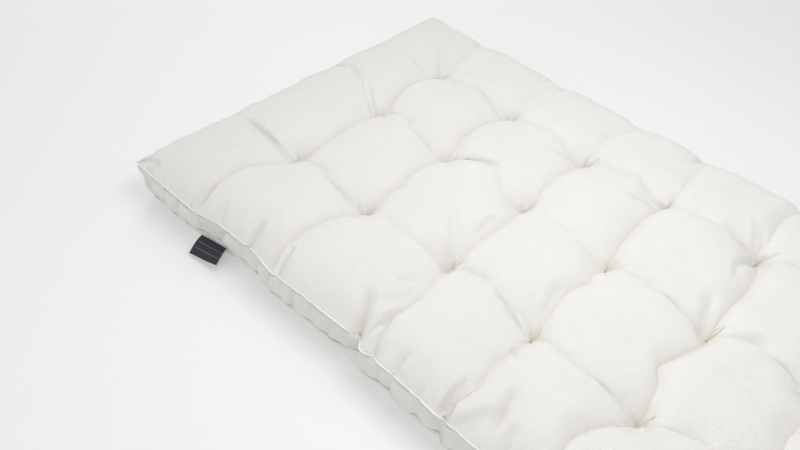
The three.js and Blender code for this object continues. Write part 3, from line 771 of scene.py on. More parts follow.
def side_folds():
    """Folds of all four sides: side number, depth, width, lips and points (along, height)."""
    made = []
    for top_place, low_place, depth, width, left, right in NEAR_FOLDS:
        middle = (top_place + low_place) / 2 + draw.uniform(-3, 3)
        points = [(top_place, TOP_SEAM), (middle, MIDDLE_HEIGHT), (low_place, BOTTOM_SEAM)]
        made.append((0, depth, width, left, right, points))
    for number, name in ((1, "foot"), (2, "far"), (3, "head")):
        half = (WIDTH if number % 2 else LENGTH) / 2
        for end in SEAM_ENDS[name]:
            deep = (0, draw.uniform(3, 4.4))
            beside = (draw.uniform(35, 60), draw.uniform(1.4, 2.6))
            for shift, depth in (deep, beside):
                place = end + shift
                lean = draw.uniform(-8, 8)
                middle = (place + lean * 0.3, MIDDLE_HEIGHT)
                points = [(place, TOP_SEAM), middle, (place + lean, BOTTOM_SEAM)]
                made.append((number, depth, draw.uniform(6.5, 9), 1.0, 1.0, points))
        for sign in (-1, 1):
            drops = ((58, TOP_SEAM), (50, 36), (44, BOTTOM_SEAM))
            points = [(sign * (half - gap), height) for gap, height in drops]
            made.append((number, 1.8, 9, 0.5, 0.5, points))
    for _ in range(SMALL_SIDE_FOLDS):
        number = int(draw.choice([0, 1, 2, 3], p=[0.34, 0.16, 0.34, 0.16]))
        half = (WIDTH if number % 2 else LENGTH) / 2 - 40
        place = draw.uniform(-half, half)
        low_end = draw.uniform(18, 34)
        points = [(place, low_end), (place + draw.uniform(-16, 16), low_end + draw.uniform(12, 28))]
        made.append((number, draw.uniform(0.7, 1.8), draw.uniform(3, 5.5), 0.5, 0.5, points))
    return made


# %% Facets of the side
def facet_grid():
    """Knots along each side of the band, with how far each stands out at three heights."""
    made = []
    for number in range(4):
        half = (WIDTH if number % 2 else LENGTH) / 2
        knots = [-half]
        while knots[-1] < half:
            knots.append(knots[-1] + draw.uniform(*FACET_STEPS))
        made.append((np.array(knots), draw.uniform(-FACET_DEPTH, FACET_DEPTH, (3, len(knots)))))
    return made


def facets(height):
    """Flat facets between knots, none at the seams."""
    down = (TOP_SEAM - height) / (TOP_SEAM - BOTTOM_SEAM)
    place = np.clip(down * 2, 0, 1.999)
    row, share = int(place), place - int(place)
    out = np.zeros(len(STATIONS))
    for number, (knots, values) in enumerate(FACETS):
        here = STATION_SIDE == number
        line = values[row] * (1 - share) + values[row + 1] * share
        out[here] = np.interp(STATION_ALONG[here], knots, line)
    return out * max(0.25, math.sin(math.pi * min(down, 1)))


def side_relief(height):
    """How far each station's side stands out or in at a height, from its folds."""
    relief = np.zeros(len(STATIONS))
    for number, depth, width, left, right, points in SIDE_FOLDS:
        here = STATION_SIDE == number
        spots = np.stack([STATION_ALONG[here], np.full(here.sum(), height)], -1)
        relief[here] += crease(spots, points, depth, width, left, right, (0.5, 0.6))
    wave = np.zeros(len(STATIONS))
    for wavelength, turn, phase, size in SIDE_WAVES:
        place = (STATION_ALONG + turn * height) / wavelength
        wave += size * np.sin(2 * math.pi * place + phase + STATION_SIDE)
    return relief * SIDE_DEPTH + wave + facets(height)


SIDE_FOLDS = side_folds()
FACETS = facet_grid()
SIDE_WAVES = [
    (draw.uniform(30, 110), draw.uniform(-1, 1), draw.uniform(0, 6.3), SIDE_WAVE_SIZE) for _ in range(12)
]
print("folds of the sides:", len(SIDE_FOLDS))

# %% Rings of the side
# Grooves beside the seams: share of the way down the band, and half width
TOP_GROOVE, LOW_GROOVE = (0.04, 0.035), (0.955, 0.045)
CORNER_TUCK = (9.0, 45.0, 1.5)  # depth at the floor, reach, power down the side
CORNER_ROUND = (7.0, 15.0, 3.0)  # depth at the floor, reach, how soon it is reached


def bulge(down):
    """How far the band stands out at a share of the way down to the lower seam."""
    groove = SEAM_GROOVE * sum(bell(down - place, half) for place, half in (TOP_GROOVE, LOW_GROOVE))
    return BAND_BULGE * np.sin(math.pi * np.clip(down, 0, 1)) ** 0.8 + down - groove


def corner_tuck(x, y, down):
    """How far a corner is drawn in, at a share of the way down to the floor."""
    corner = from_corner(x, y)
    depth, reach, power = CORNER_TUCK
    tuck = depth * down ** power * bell(corner, reach)
    depth, reach, haste = CORNER_ROUND
    return tuck + depth * min(1, haste * down) * bell(corner, reach)


def ring_points(height, out, share_of_folds, lifted_out=0.0):
    """One ring round the pad; lifted_out is how far it stands out where the seam is raised."""
    x, y = STATION_PLAN[:, 0], STATION_PLAN[:, 1]
    down = (TOP_SEAM - height) / TOP_SEAM
    stand = out + share_of_folds * side_relief(max(height, BOTTOM_SEAM))
    tuck = corner_tuck(x, y, down)
    lift = np.zeros_like(x)
    for place, size, reach in [LABEL_LIFT, *SEAM_LIFTS]:
        lift += np.where(STATION_SIDE == 0, size * bell(x - place, reach), 0)
    stand = stand + lifted_out * lift * (1 - height / BOTTOM_SEAM)
    lift *= min(1, height / BOTTOM_SEAM) * down
    seam_move = (seam_height(x, y) - TOP_SEAM) * (1 - down)
    return np.stack([
        x * (1 + stand / (LENGTH / 2)) - tuck * np.sign(x),
        y * (1 + stand / (WIDTH / 2)) - tuck * np.sign(y),
        height + seam_move + lift,
    ], -1)


def side_rings():
    rings = []
    for down in BAND_DOWNS:
        height = TOP_SEAM - (TOP_SEAM - BOTTOM_SEAM) * down
        rings.append(ring_points(height, bulge(down), 1.0))
    for k in range(1, CURL_RINGS + 1):
        angle = (math.pi / 2) * k / CURL_RINGS
        height = BOTTOM_SEAM * (1 - math.sin(angle))
        out = 1 - CURL_IN * (1 - math.cos(angle)) ** 0.8
        rings.append(ring_points(height, out, math.cos(angle) ** 2, UNDER_BULGE))
    return np.array(rings)


SIDES = side_rings()
print("rings of the side:", SIDES.shape[0], "of", SIDES.shape[1], "points")

# %% The underside
UNDER_STEP = 4
DIMPLE_HEIGHT = 12.0
DIMPLE_REACH = 15.0
UNDER_VALLEY = 2.6


def underside():
    """Every fourth line of the net, drawn in to the last ring, with a dimple at each tie."""
    places = TOP_PLAN[::UNDER_STEP, ::UNDER_STEP]
    u, v = U_GRID[::UNDER_STEP, ::UNDER_STEP], V_GRID[::UNDER_STEP, ::UNDER_STEP]
    dimples = DIMPLE_HEIGHT * near_ties(places, DIMPLE_REACH)
    s, t = np.abs(u - np.round(u)), np.abs(v - np.round(v))
    inner = ease(np.minimum(u, U_CELLS - u) / 0.5) * ease(np.minimum(v, V_CELLS - v) / 0.5)
    valley = np.maximum(bell(s, 0.09), bell(t, 0.09)) * UNDER_VALLEY * inner
    return places, np.maximum(dimples, valley)


UNDER_PLAN, UNDER_HEIGHT = underside()
print("net of the underside:", UNDER_PLAN.shape[:2])

# %% [markdown]
# ## Swelling the cover
# The filling presses the slack cover out until the ties and seams hold it. Blender's
# Cloth does that here: a lighter net of the top and the band is pinned at the ties, at
# both seams and softly along the valleys, is cut a little too large, and is blown up
# with gravity off. A share of what each point moved is carried over to the full net,
# and the creases are pressed in after it. Simulating the full net would take minutes.

# %% Nets of points, and the settings of the cloth
SIM_STEP = 2
SIM_FRAMES = 20
SIM_PRESSURE = 4.0
SIM_CAP = 8.0  # no point is taken to have moved further than this, in millimetres
SIM_SHARE = 0.4
SIM_SLACK = -0.03  # a negative shrinkage: the cloth is this much too large
CLOTH_SETTINGS = {
    "quality": 5,
    "mass": 0.3,
    "tension_stiffness": 15,
    "compression_stiffness": 15,
    "bending_stiffness": 0.5,
    "use_pressure": True,
    "uniform_pressure_force": SIM_PRESSURE,
    "shrink_min": SIM_SLACK,
}
PIN_REACH = 18.0
VALLEY_PIN = 0.35
BAND_PIN = 0.25


def grid_quads(numbers):
    """Quads between the neighbours of a grid of point numbers."""
    corners = [numbers[:-1, :-1], numbers[1:, :-1], numbers[1:, 1:], numbers[:-1, 1:]]
    return np.stack(corners, -1).reshape(-1, 4)


def ring_quads(above, below):
    """Quads between two closed rings of point numbers."""
    return np.stack([above, below, np.roll(below, -1), np.roll(above, -1)], -1)


def mesh_from(name, points, faces):
    mesh = bpy.data.meshes.new(name)
    mesh.from_pydata(points.tolist(), [], [list(face) for face in faces])
    mesh.polygons.foreach_set("use_smooth", np.ones(len(mesh.polygons), bool))
    mesh.update()
    thing = bpy.data.objects.new(name, mesh)
    bpy.context.scene.collection.objects.link(thing)
    return thing


# %% The simulation
def pin_weights(u, v, plan_places):
    """How firmly each point of the top is held: at ties and seams, and softly in valleys."""
    s, t = np.abs(u - np.round(u)), np.abs(v - np.round(v))
    held = VALLEY_PIN * np.maximum(bell(s, 0.03), bell(t, 0.03))
    held = np.maximum(held, near_ties(plan_places, PIN_REACH))
    held[[0, -1]] = 1
    held[:, [0, -1]] = 1
    return held


def swell():
    """Simulated moves of the coarse top and band, in millimetres."""
    top = TOP[::SIM_STEP, ::SIM_STEP]
    held_top = pin_weights(U_GRID[::SIM_STEP, ::SIM_STEP], V_GRID[::SIM_STEP, ::SIM_STEP], top)
    band = SIDES[:BAND_RINGS, ::SIM_STEP]
    held_band = np.full(band.shape[:2], BAND_PIN)
    held_band[-1] = 1
    numbers = np.arange(top.shape[0] * top.shape[1]).reshape(top.shape[:2])
    ring = numbers[STATION_I[::SIM_STEP] // SIM_STEP, STATION_J[::SIM_STEP] // SIM_STEP]
    faces = [grid_quads(numbers)]
    for k in range(len(band)):
        below = numbers.size + k * band.shape[1] + np.arange(band.shape[1])
        faces.append(ring_quads(ring, below))
        ring = below
    points = np.vstack([top.reshape(-1, 3), band.reshape(-1, 3)])
    cover = mesh_from("slack_cover", points * MM, np.vstack(faces))
    held = cover.vertex_groups.new(name="held")
    weights = np.round(np.concatenate([held_top.ravel(), held_band.ravel()]) * 20) / 20
    for weight in np.unique(weights):
        held.add(np.flatnonzero(weights == weight).tolist(), float(weight), "REPLACE")
    cloth = cover.modifiers.new("Cloth", "CLOTH")
    for setting, value in CLOTH_SETTINGS.items():
        setattr(cloth.settings, setting, value)
    cloth.settings.vertex_group_mass = "held"
    cloth.settings.effector_weights.gravity = 0
    cloth.collision_settings.use_self_collision = False
    cloth.point_cache.frame_start = 1
    cloth.point_cache.frame_end = SIM_FRAMES
    for number in range(1, SIM_FRAMES + 1):
        bpy.context.scene.frame_set(number)
    settled = cover.evaluated_get(bpy.context.evaluated_depsgraph_get())
    places = np.empty(len(points) * 3)
    settled.data.vertices.foreach_get("co", places)
    moves = places.reshape(-1, 3) / MM - points
    size = np.linalg.norm(moves, axis=1)
    print("swelling, mm: mean", round(float(size.mean()), 2), "most", round(float(size.max()), 2))
    moves *= SIM_SHARE * np.minimum(1, SIM_CAP / np.maximum(size, 1e-6))[:, None]
    bpy.data.objects.remove(cover)
    bpy.context.scene.frame_set(1)
    return moves[:numbers.size].reshape(top.shape), moves[numbers.size:].reshape(band.shape)


# %% From the coarse net to the full one
def finer(values, closed):
    """Twice the lines of an array along its first axis, each new one midway."""
    after = np.roll(values, -1, axis=0) if closed else values[1:]
    before = values if closed else values[:-1]
    doubled = np.empty((len(before) * 2 + (not closed), *values.shape[1:]))
    doubled[0::2] = values
    doubled[1::2] = (before + after) / 2
    return doubled


TOP_SWELL = np.zeros_like(TOP)
BAND_SWELL = np.zeros_like(SIDES[:BAND_RINGS])
coarse_top, coarse_band = swell()
TOP_SWELL = finer(finer(coarse_top, False).swapaxes(0, 1), False).swapaxes(0, 1)
BAND_SWELL = finer(coarse_band.swapaxes(0, 1), True).swapaxes(0, 1)
print("carried over, mm: most", round(float(np.linalg.norm(TOP_SWELL, axis=-1).max()), 2))

# %% [markdown]
# ## The pad as one mesh
# The relief is added along the surface's own normal, so a fold on the roll of the edge
# stands out sideways and not up. The net's numbers also give the cloth's own flat
# coordinates in metres, which carry the weave.

# %% Points of the pad
def grid_normals(points):
    along = np.gradient(points, axis=0)
    across = np.gradient(points, axis=1)
    normal = np.cross(along, across)
    return normal / np.linalg.norm(normal, axis=-1, keepdims=True)


def pad_points():
    top = TOP + TOP_SWELL
    top = top + grid_normals(top) * TOP_RELIEF[..., None]
    sides = SIDES.copy()
    sides[:BAND_RINGS] += BAND_SWELL
    under_z = UNDER_HEIGHT[..., None]
    scale = 1 - (CURL_IN - 1) / np.array([LENGTH / 2, WIDTH / 2])
    tuck = corner_tuck(UNDER_PLAN[..., 0], UNDER_PLAN[..., 1], 1)[..., None]
    under = np.concatenate([UNDER_PLAN * scale - tuck * np.sign(UNDER_PLAN), under_z], -1)
    return top, sides, under


# %% Faces of the pad
def pad_mesh(top, sides, under):
    """Joins the top, the side rings and the underside into one closed mesh."""
    count = top.shape[0] * top.shape[1]
    numbers = np.arange(count).reshape(top.shape[:2])
    quads = [grid_quads(numbers)]
    coords = [grid_quads(numbers)]
    flat = [top[..., :2].reshape(-1, 2)]
    ring = numbers[STATION_I, STATION_J]
    run = np.linalg.norm(np.roll(STATION_PLAN, -1, 0) - STATION_PLAN, axis=1)
    run = np.concatenate([[0], np.cumsum(run)])
    points = [top.reshape(-1, 3)]
    flat_count = count
    fall = [TOP_SEAM] + [float(r[:, 2].mean()) for r in sides]
    widths = len(STATIONS)
    flat.append(np.stack([run, np.full(widths + 1, TOP_SEAM)], -1))
    ring_flat = flat_count + np.arange(widths + 1)
    flat_count += widths + 1
    for k, below_points in enumerate(sides[:-1]):
        below = count + np.arange(widths)
        points.append(below_points)
        count += widths
        flat.append(np.stack([run, np.full(widths + 1, fall[k + 1])], -1))
        below_flat = flat_count + np.arange(widths + 1)
        flat_count += widths + 1
        quads.append(ring_quads(ring, below))
        coords.append(np.stack([ring_flat[:-1], below_flat[:-1], below_flat[1:], ring_flat[1:]], -1))
        ring, ring_flat = below, below_flat
    # Two rings with half the points of the one above lead down to the underside
    middle = (0.5 * sides[-2] + 0.5 * sides[-1])[::2]
    under_numbers = None
    triangles, triangle_coords = [], []
    for number, low_points in enumerate((middle, None)):
        half = len(ring) // 2
        if low_points is None:
            under_numbers = count + np.arange(under.shape[0] * under.shape[1]).reshape(under.shape[:2])
            low = under_numbers[STATION_I[::4] // UNDER_STEP, STATION_J[::4] // UNDER_STEP]
            points.append(under.reshape(-1, 3))
            count += under_numbers.size
        else:
            low = count + np.arange(half)
            points.append(low_points)
            count += half
        run_low = run[::2 ** (number + 1)]
        flat.append(np.stack([run_low, np.full(half + 1, 2.0 - 2 * number)], -1))
        low_flat = flat_count + np.arange(half + 1)
        flat_count += half + 1
        a0, a1, a2 = ring[0::2], ring[1::2], np.roll(ring, -2)[0::2]
        b0, b1 = low, np.roll(low, -1)
        f0, f1, f2 = ring_flat[:-1:2], ring_flat[1::2], ring_flat[2::2]
        g0, g1 = low_flat[:-1], low_flat[1:]
        for corners in ((a0, b0, a1), (a1, b0, b1), (a1, b1, a2)):
            triangles.append(np.stack(corners, -1))
        for corners in ((f0, g0, f1), (f1, g0, g1), (f1, g1, f2)):
            triangle_coords.append(np.stack(corners, -1))
        ring, ring_flat = low, low_flat
    quads.append(grid_quads(under_numbers)[:, ::-1])
    flat.append(under[..., :2].reshape(-1, 2))
    coords.append(grid_quads(under_numbers - under_numbers.min() + flat_count)[:, ::-1])
    faces = [list(face) for block in quads + triangles for face in block]
    corners = [corner for block in coords + triangle_coords for face in block for corner in face]
    return np.vstack(points), faces, np.vstack(flat)[corners]


# %% Making the pad
top, sides, under = pad_points()
points, faces, flat = pad_mesh(top, sides, under)
pad = mesh_from("quilted_pad", points * MM + [*PAD_SHIFT, 0], faces)
layer = pad.data.uv_layers.new(name="cloth")
layer.data.foreach_set("uv", (flat * MM).ravel())
triangle_count = sum(len(face) - 2 for face in faces)
print("pad:", len(points), "points,", triangle_count, "triangles")
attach(pad, "root")
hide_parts("filled_pad")

# %% [markdown]
# ## The seam lips
# Round both seams the raw edges are turned in and stitched, which leaves a thin raised
# lip of doubled cloth. It could be a bevelled curve, but a lip is flatter than a cord,
# so a small section is swept along the seam instead. It follows every pucker of the
# pad's own mesh, and it is stitched: the section narrows a little at each stitch.

# %% Lips
LIP_SECTION = [
    (-0.8, -0.9), (0.8, -0.85), (2.2, -0.6), (2.8, 0.0), (2.2, 0.6), (0.8, 0.85), (-0.8, 0.9),
]
LIP_STEP = 2.2
LIP_PITCH = 7.0
STITCH_PULL = 0.12
GIRTH_STEP = 1.1  # about the distance from one point of the section to the next
LIP_WOBBLE = ((7, 11), (6, 4.3), (4, 23))  # degrees of lean, and the reach of each wave
LOW_LIP_SCALE = 0.85
TOP_TILT = 14.0
LOW_TILT = -4.0


def resampled(loop, step):
    """A closed loop of points laid out again at even steps."""
    closed = np.vstack([loop, loop[:1]])
    size = np.linalg.norm(np.diff(closed, axis=0), axis=1)
    run = np.concatenate([[0], np.cumsum(size)])
    count = int(round(run[-1] / step))
    places = np.arange(count) * run[-1] / count
    return np.stack([np.interp(places, run, closed[:, k]) for k in range(3)], -1), places


def swept(name, loop, tilt, scale=1.0):
    """A closed band with the lip's section, standing out from a loop at a tilt above level."""
    seats, places = resampled(loop, LIP_STEP)
    along = np.roll(seats, -1, 0) - np.roll(seats, 1, 0)
    along[:, 2] = 0
    along /= np.linalg.norm(along, axis=1, keepdims=True)
    for _ in range(3):
        along = (np.roll(along, 1, 0) + along + np.roll(along, -1, 0)) / 3
    outward = np.stack([along[:, 1], -along[:, 0], np.zeros(len(along))], -1)
    wobble = sum(size * np.sin(places / reach + k) for k, (size, reach) in enumerate(LIP_WOBBLE))
    lean = np.radians(tilt + wobble)[:, None]
    stand = outward * np.cos(lean) + np.array([0, 0, 1]) * np.sin(lean)
    across = -outward * np.sin(lean) + np.array([0, 0, 1]) * np.cos(lean)
    stitches = STITCH_PULL * np.cos(2 * math.pi * places / LIP_PITCH)
    pull = scale * (1 - stitches + 0.1 * np.sin(places / 17))[:, None]
    rows = [seats + stand * rise * pull + across * side * scale for rise, side in LIP_SECTION]
    points = np.stack(rows, 1)
    numbers = np.arange(len(seats) * len(rows)).reshape(len(seats), len(rows))
    closed = np.vstack([numbers, numbers[:1]])
    closed = np.hstack([closed, closed[:, :1]])
    band = mesh_from(name, points.reshape(-1, 3) * MM + [*PAD_SHIFT, 0], grid_quads(closed)[:, ::-1])
    layer = band.data.uv_layers.new(name="cloth")
    run = np.append(places, places[-1] + LIP_STEP)
    girth = np.arange(len(rows) + 1) * GIRTH_STEP
    flat = np.stack(np.meshgrid(run, girth, indexing="ij"), -1)
    spots = np.arange(flat.shape[0] * flat.shape[1]).reshape(flat.shape[:2])
    layer.data.foreach_set("uv", (flat.reshape(-1, 2)[grid_quads(spots)[:, ::-1]] * MM).ravel())
    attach(band, "root")
    return band


top_lip = swept("top_seam_lip", top[STATION_I, STATION_J], TOP_TILT)
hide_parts("top_welt")
low_seam = sides[BAND_RINGS - 1]
low_lip = swept("bottom_seam_lip", low_seam, LOW_TILT, LOW_LIP_SCALE)
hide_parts("bottom_welt")
print("lips:", len(top_lip.data.vertices), "and", len(low_lip.data.vertices), "points")

# %% [markdown]
# ## The ties
# A tie is a doubled cotton thread that goes right through the pad. On top it is knotted
# and its two ends are cut short, and on the underside it shows as one short stitch.
# Threads are round and bend freely, so each is a tube swept along a smooth path: two
# turns for the knot, and ends that rise towards the far side, curl and come down.

# %% A thread
THREAD_RADIUS = 0.7
THREAD_SIDES = 6
KNOT_RADIUS = 2.3
KNOT_LIFT = 2.0
END_LENGTHS = (25.0, 18.0)
KNOT_STEPS = 34
END_STEPS = 14
STITCH_HALF = 4.3  # millimetres from the middle of a stitch to its end
END_THICKNESS = 0.65  # of the knot's thread: an end is one strand
END_SLACK = 0.86  # an end's reach over the cloth, as a share of its length


def tube(path, radius):
    """Points and faces of a thread along a path, closed at both ends."""
    path = np.array(path, float)
    along = np.gradient(path, axis=0)
    along /= np.linalg.norm(along, axis=1, keepdims=True)
    aside = np.cross(along, [0.31, 0.22, 0.93])
    aside /= np.linalg.norm(aside, axis=1, keepdims=True)
    upward = np.cross(along, aside)
    points = []
    for k in range(THREAD_SIDES):
        angle = 2 * math.pi * k / THREAD_SIDES
        points.append(path + radius * (math.cos(angle) * aside + math.sin(angle) * upward))
    points = np.stack(points, 1)
    numbers = np.arange(points.shape[0] * THREAD_SIDES).reshape(-1, THREAD_SIDES)
    faces = [list(face) for face in grid_quads(np.hstack([numbers, numbers[:, :1]]))]
    faces += [list(numbers[0][::-1]), list(numbers[-1])]
    return points.reshape(-1, 3), faces


def joined(parts):
    points, faces = [], []
    for part_points, part_faces in parts:
        offset = sum(len(p) for p in points)
        points.append(part_points)
        faces += [[number + offset for number in face] for face in part_faces]
    return np.vstack(points), faces


# %% Knots and loose ends
def surface_height(x, y):
    """Height of the finished top nearest to a place, in millimetres."""
    gap = (top[..., 0] - x) ** 2 + (top[..., 1] - y) ** 2
    return float(top[np.unravel_index(gap.argmin(), gap.shape)][2])


def knot_path(turn):
    """Two rising turns that cross over themselves."""
    share = np.linspace(0, 1, KNOT_STEPS)
    angle = turn + 4 * math.pi * share
    radius = KNOT_RADIUS * (0.62 + 0.3 * np.sin(3 * math.pi * share))
    height = KNOT_LIFT + 1.6 * share + 0.5 * np.sin(angle * 1.5)
    return np.stack([radius * np.cos(angle), radius * np.sin(angle), height], -1)


def end_path(tie, turn, length, rise, curl):
    """A loose end that leaves the knot, rises and falls back towards the cloth."""
    share = np.linspace(0, 1, END_STEPS)
    heading = turn + curl * share ** 1.4
    step = length / (END_STEPS - 1)
    x = np.cumsum(np.cos(heading)) * step * END_SLACK
    y = np.cumsum(np.sin(heading)) * step * END_SLACK
    x, y = x - x[0], y - y[0]
    z = KNOT_LIFT + 1 + rise * np.sin(math.pi * share ** 0.9 * 0.8)
    path = np.stack([x, y, z], -1)
    for k in range(1, END_STEPS):
        ground = surface_height(tie[0] + path[k, 0], tie[1] + path[k, 1]) - tie[2]
        path[k, 2] = max(path[k, 2], ground + THREAD_RADIUS + 0.4)
    return path


# %% Adding ties and stitches
def add_tie(i, j):
    tie = top[i * U_STEPS, j * V_STEPS]
    turn = draw.uniform(0, 2 * math.pi)
    parts = [tube(knot_path(turn), THREAD_RADIUS)]
    for number, length in enumerate(END_LENGTHS):
        heading = draw.uniform(0.6, 1.4) + number * draw.uniform(0.8, 1.7)
        rise = draw.uniform(8, 14)
        path = end_path(tie, heading, length * draw.uniform(0.8, 1.1), rise, draw.uniform(-1.1, 1.1))
        parts.append(tube(path, THREAD_RADIUS * END_THICKNESS))
    points, faces = joined(parts)
    knot = mesh_from(f"thread_tie_{i}_{j}", (points + tie) * MM + [*PAD_SHIFT, 0], faces)
    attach(knot, "root")
    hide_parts(f"tie_{i}_{j}")
    return knot


def add_stitch(i, j):
    """Two strands side by side under the dimple's roof, where the solid stitch lies."""
    low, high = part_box(f"under_stitch_{i}_{j}")
    middle = np.array((low + high) / 2) / MM
    turn = 1.9 * i + 2.7 * j
    along = np.array([math.cos(turn), math.sin(turn), 0])
    aside = np.array([-math.sin(turn), math.cos(turn), 0])
    share = np.linspace(-1, 1, 13)[:, None]
    parts = []
    for strand in (-1, 1):
        twist = 0.5 * strand * np.cos(share * 4.0)
        rise = 0.9 * np.abs(share) ** 4 - 0.2
        path = along * share * STITCH_HALF + aside * twist + np.array([0, 0, 1]) * rise
        parts.append(tube(path, THREAD_RADIUS))
    points, faces = joined(parts)
    stitch = mesh_from(f"thread_stitch_{i}_{j}", (points + middle) * MM, faces)
    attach(stitch, "root")
    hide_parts(f"under_stitch_{i}_{j}")
    return stitch


ties = [add_tie(i, j) for i, j in TIES]
stitches = [add_stitch(i, j) for i, j in TIES]
print("ties:", len(ties), "stitches:", len(stitches))

# %% [markdown]
# ## The label
# The label is a strip of stiff woven ribbon, folded in half and sewn into the lower
# seam by both ends, so that the fold hangs free. It is built as that strip: one closed
# sheet that goes out, turns round the fold and comes back. The corner at its head side
# droops almost to the floor, and the stiff ribbon holds up the one at its foot side.

# %% The folded strip
LABEL_INNER = ((-497.7, -359.0, 20.5), (-444.0, -351.5, 24.5))
LABEL_OUTER = ((-493.0, -387.5, 4.6), (-434.5, -378.0, 15.0))
RIBBON_THICK = 0.5
FOLD_GAP = 0.35
LABEL_ROWS = 22
LABEL_STATIONS = 20
BEND_POINTS = 7
OUTSIDE_POINTS = 2 * (LABEL_ROWS - 1) + BEND_POINTS
LABEL_ARCH = 3.4
LABEL_WAVE = 0.5
LABEL_LENGTH = 56.0
LABEL_REACH = 33.5


def label_line(share):
    """Middle of the folded strip at shares of the way out, at its head side and its foot side."""
    inner, outer = np.array(LABEL_INNER), np.array(LABEL_OUTER)
    return inner[:, None] * (1 - share[:, None]) + outer[:, None] * share[:, None]


def label_profile():
    """(share of the way out, offset above the middle) round the closed section."""
    outside = FOLD_GAP / 2 + RIBBON_THICK
    out = np.linspace(0, 1, LABEL_ROWS)
    upper = [(share, outside) for share in out[:-1]]
    turns = np.linspace(math.pi / 2, -math.pi / 2, BEND_POINTS)
    bend = [(1 + 0.03 * math.cos(a), outside * math.sin(a)) for a in turns]
    lower = [(share, -outside) for share in out[::-1][1:]]
    inside = FOLD_GAP / 2
    back = [(share, -inside) for share in out[:-1]]
    turns = np.linspace(-math.pi / 2, math.pi / 2, 5)
    inner_bend = [(1 + 0.012 * math.cos(a), inside * math.sin(a)) for a in turns]
    home = [(share, inside) for share in out[::-1][1:]]
    return np.array(upper + bend + lower + back + inner_bend + home)


# %% Adding the label
def add_label():
    section = label_profile()
    share, offset = section[:, 0], section[:, 1]
    ends = label_line(np.clip(share, 0, 1.1))
    width = np.linspace(0, 1, LABEL_STATIONS)[:, None, None]
    points = ends[0][None] * (1 - width) + ends[1][None] * width
    way_out, across = np.clip(share, 0, 1), math.pi * width[..., 0]
    arch = LABEL_ARCH * np.sin(math.pi * way_out) * (0.75 + 0.35 * np.cos(across))
    wave = LABEL_WAVE * np.sin(2.2 * across + 0.6) * way_out ** 2
    points[..., 2] += arch * 0.8 + wave
    run_in = np.array(LABEL_OUTER[0]) - np.array(LABEL_INNER[0])
    run_on = np.array(LABEL_INNER[1]) - np.array(LABEL_INNER[0])
    normal = np.cross(run_in, run_on)
    normal /= np.linalg.norm(normal)
    normal *= np.sign(normal[2])
    points = points + normal * offset[None, :, None]
    count = len(section)
    numbers = np.arange(LABEL_STATIONS * count).reshape(LABEL_STATIONS, count)
    loop = np.hstack([numbers, numbers[:, :1]])
    faces = [list(face) for face in grid_quads(loop)]
    # The two cut edges at the strip's sides close the sheet
    for end, order in ((0, 1), (LABEL_STATIONS - 1, -1)):
        ring = numbers[end]
        outer_ring = ring[:OUTSIDE_POINTS]
        inner_ring = ring[OUTSIDE_POINTS:][::-1]
        inner_places = np.linspace(0, len(inner_ring) - 1, len(outer_ring)).round().astype(int)
        for k in range(len(outer_ring) - 1):
            a, b = outer_ring[k], outer_ring[k + 1]
            c, d = inner_ring[inner_places[k + 1]], inner_ring[inner_places[k]]
            face = [a, b, c] if c == d else [a, b, c, d]
            faces.append([int(n) for n in face[::order]])
    label = mesh_from("woven_label", points.reshape(-1, 3) * MM + [*PAD_SHIFT, 0], faces)
    layer = label.data.uv_layers.new(name="cloth")
    across = np.linspace(0, LABEL_LENGTH, LABEL_STATIONS)
    flat = np.stack(np.meshgrid(across, share * LABEL_REACH, indexing="ij"), -1).reshape(-1, 2)
    corners = np.array([corner for face in faces for corner in face])
    layer.data.foreach_set("uv", (flat[corners] * MM).ravel())
    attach(label, "root")
    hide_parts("label")
    return label


label = add_label()
print("label:", len(label.data.polygons), "faces")

# %% [markdown]
# ## Writing materials as sums
# A material here is a graph of nodes. Wired one by one, a weave takes a page, so a
# small class wraps a socket and gives it the signs of arithmetic: adding two sockets
# adds a Math node. Colours and vectors go through their own two helpers, and every
# other node through one method that sets its settings first and its sockets after.

# %% Sockets as numbers
class Signal:
    """One output socket of a node graph, which can be used in sums."""

    def __init__(self, graph, socket):
        self.graph = graph
        self.socket = socket

    def math(self, operation, *others):
        sockets = dict(enumerate([self, *others]))
        return self.graph.node("ShaderNodeMath", {"operation": operation}, sockets)[0]

    def __add__(self, other):
        return self.math("ADD", other)

    def __radd__(self, other):
        return self.math("ADD", other)

    def __sub__(self, other):
        return self.math("SUBTRACT", other)

    def __rsub__(self, other):
        return self.math("MULTIPLY_ADD", -1.0, other)

    def __mul__(self, other):
        return self.math("MULTIPLY", other)

    def __rmul__(self, other):
        return self.math("MULTIPLY", other)

    def __pow__(self, other):
        return self.math("POWER", other)

    def sine(self):
        return self.math("SINE")

    def clamped(self):
        return self.graph.node("ShaderNodeClamp", {}, {"Value": self})[0]

    def between(self, low, high):
        """0 below low, 1 above high and smooth between them."""
        settings = {"interpolation_type": "SMOOTHSTEP"}
        sockets = {"Value": self, "From Min": low, "From Max": high}
        return self.graph.node("ShaderNodeMapRange", settings, sockets)[0]


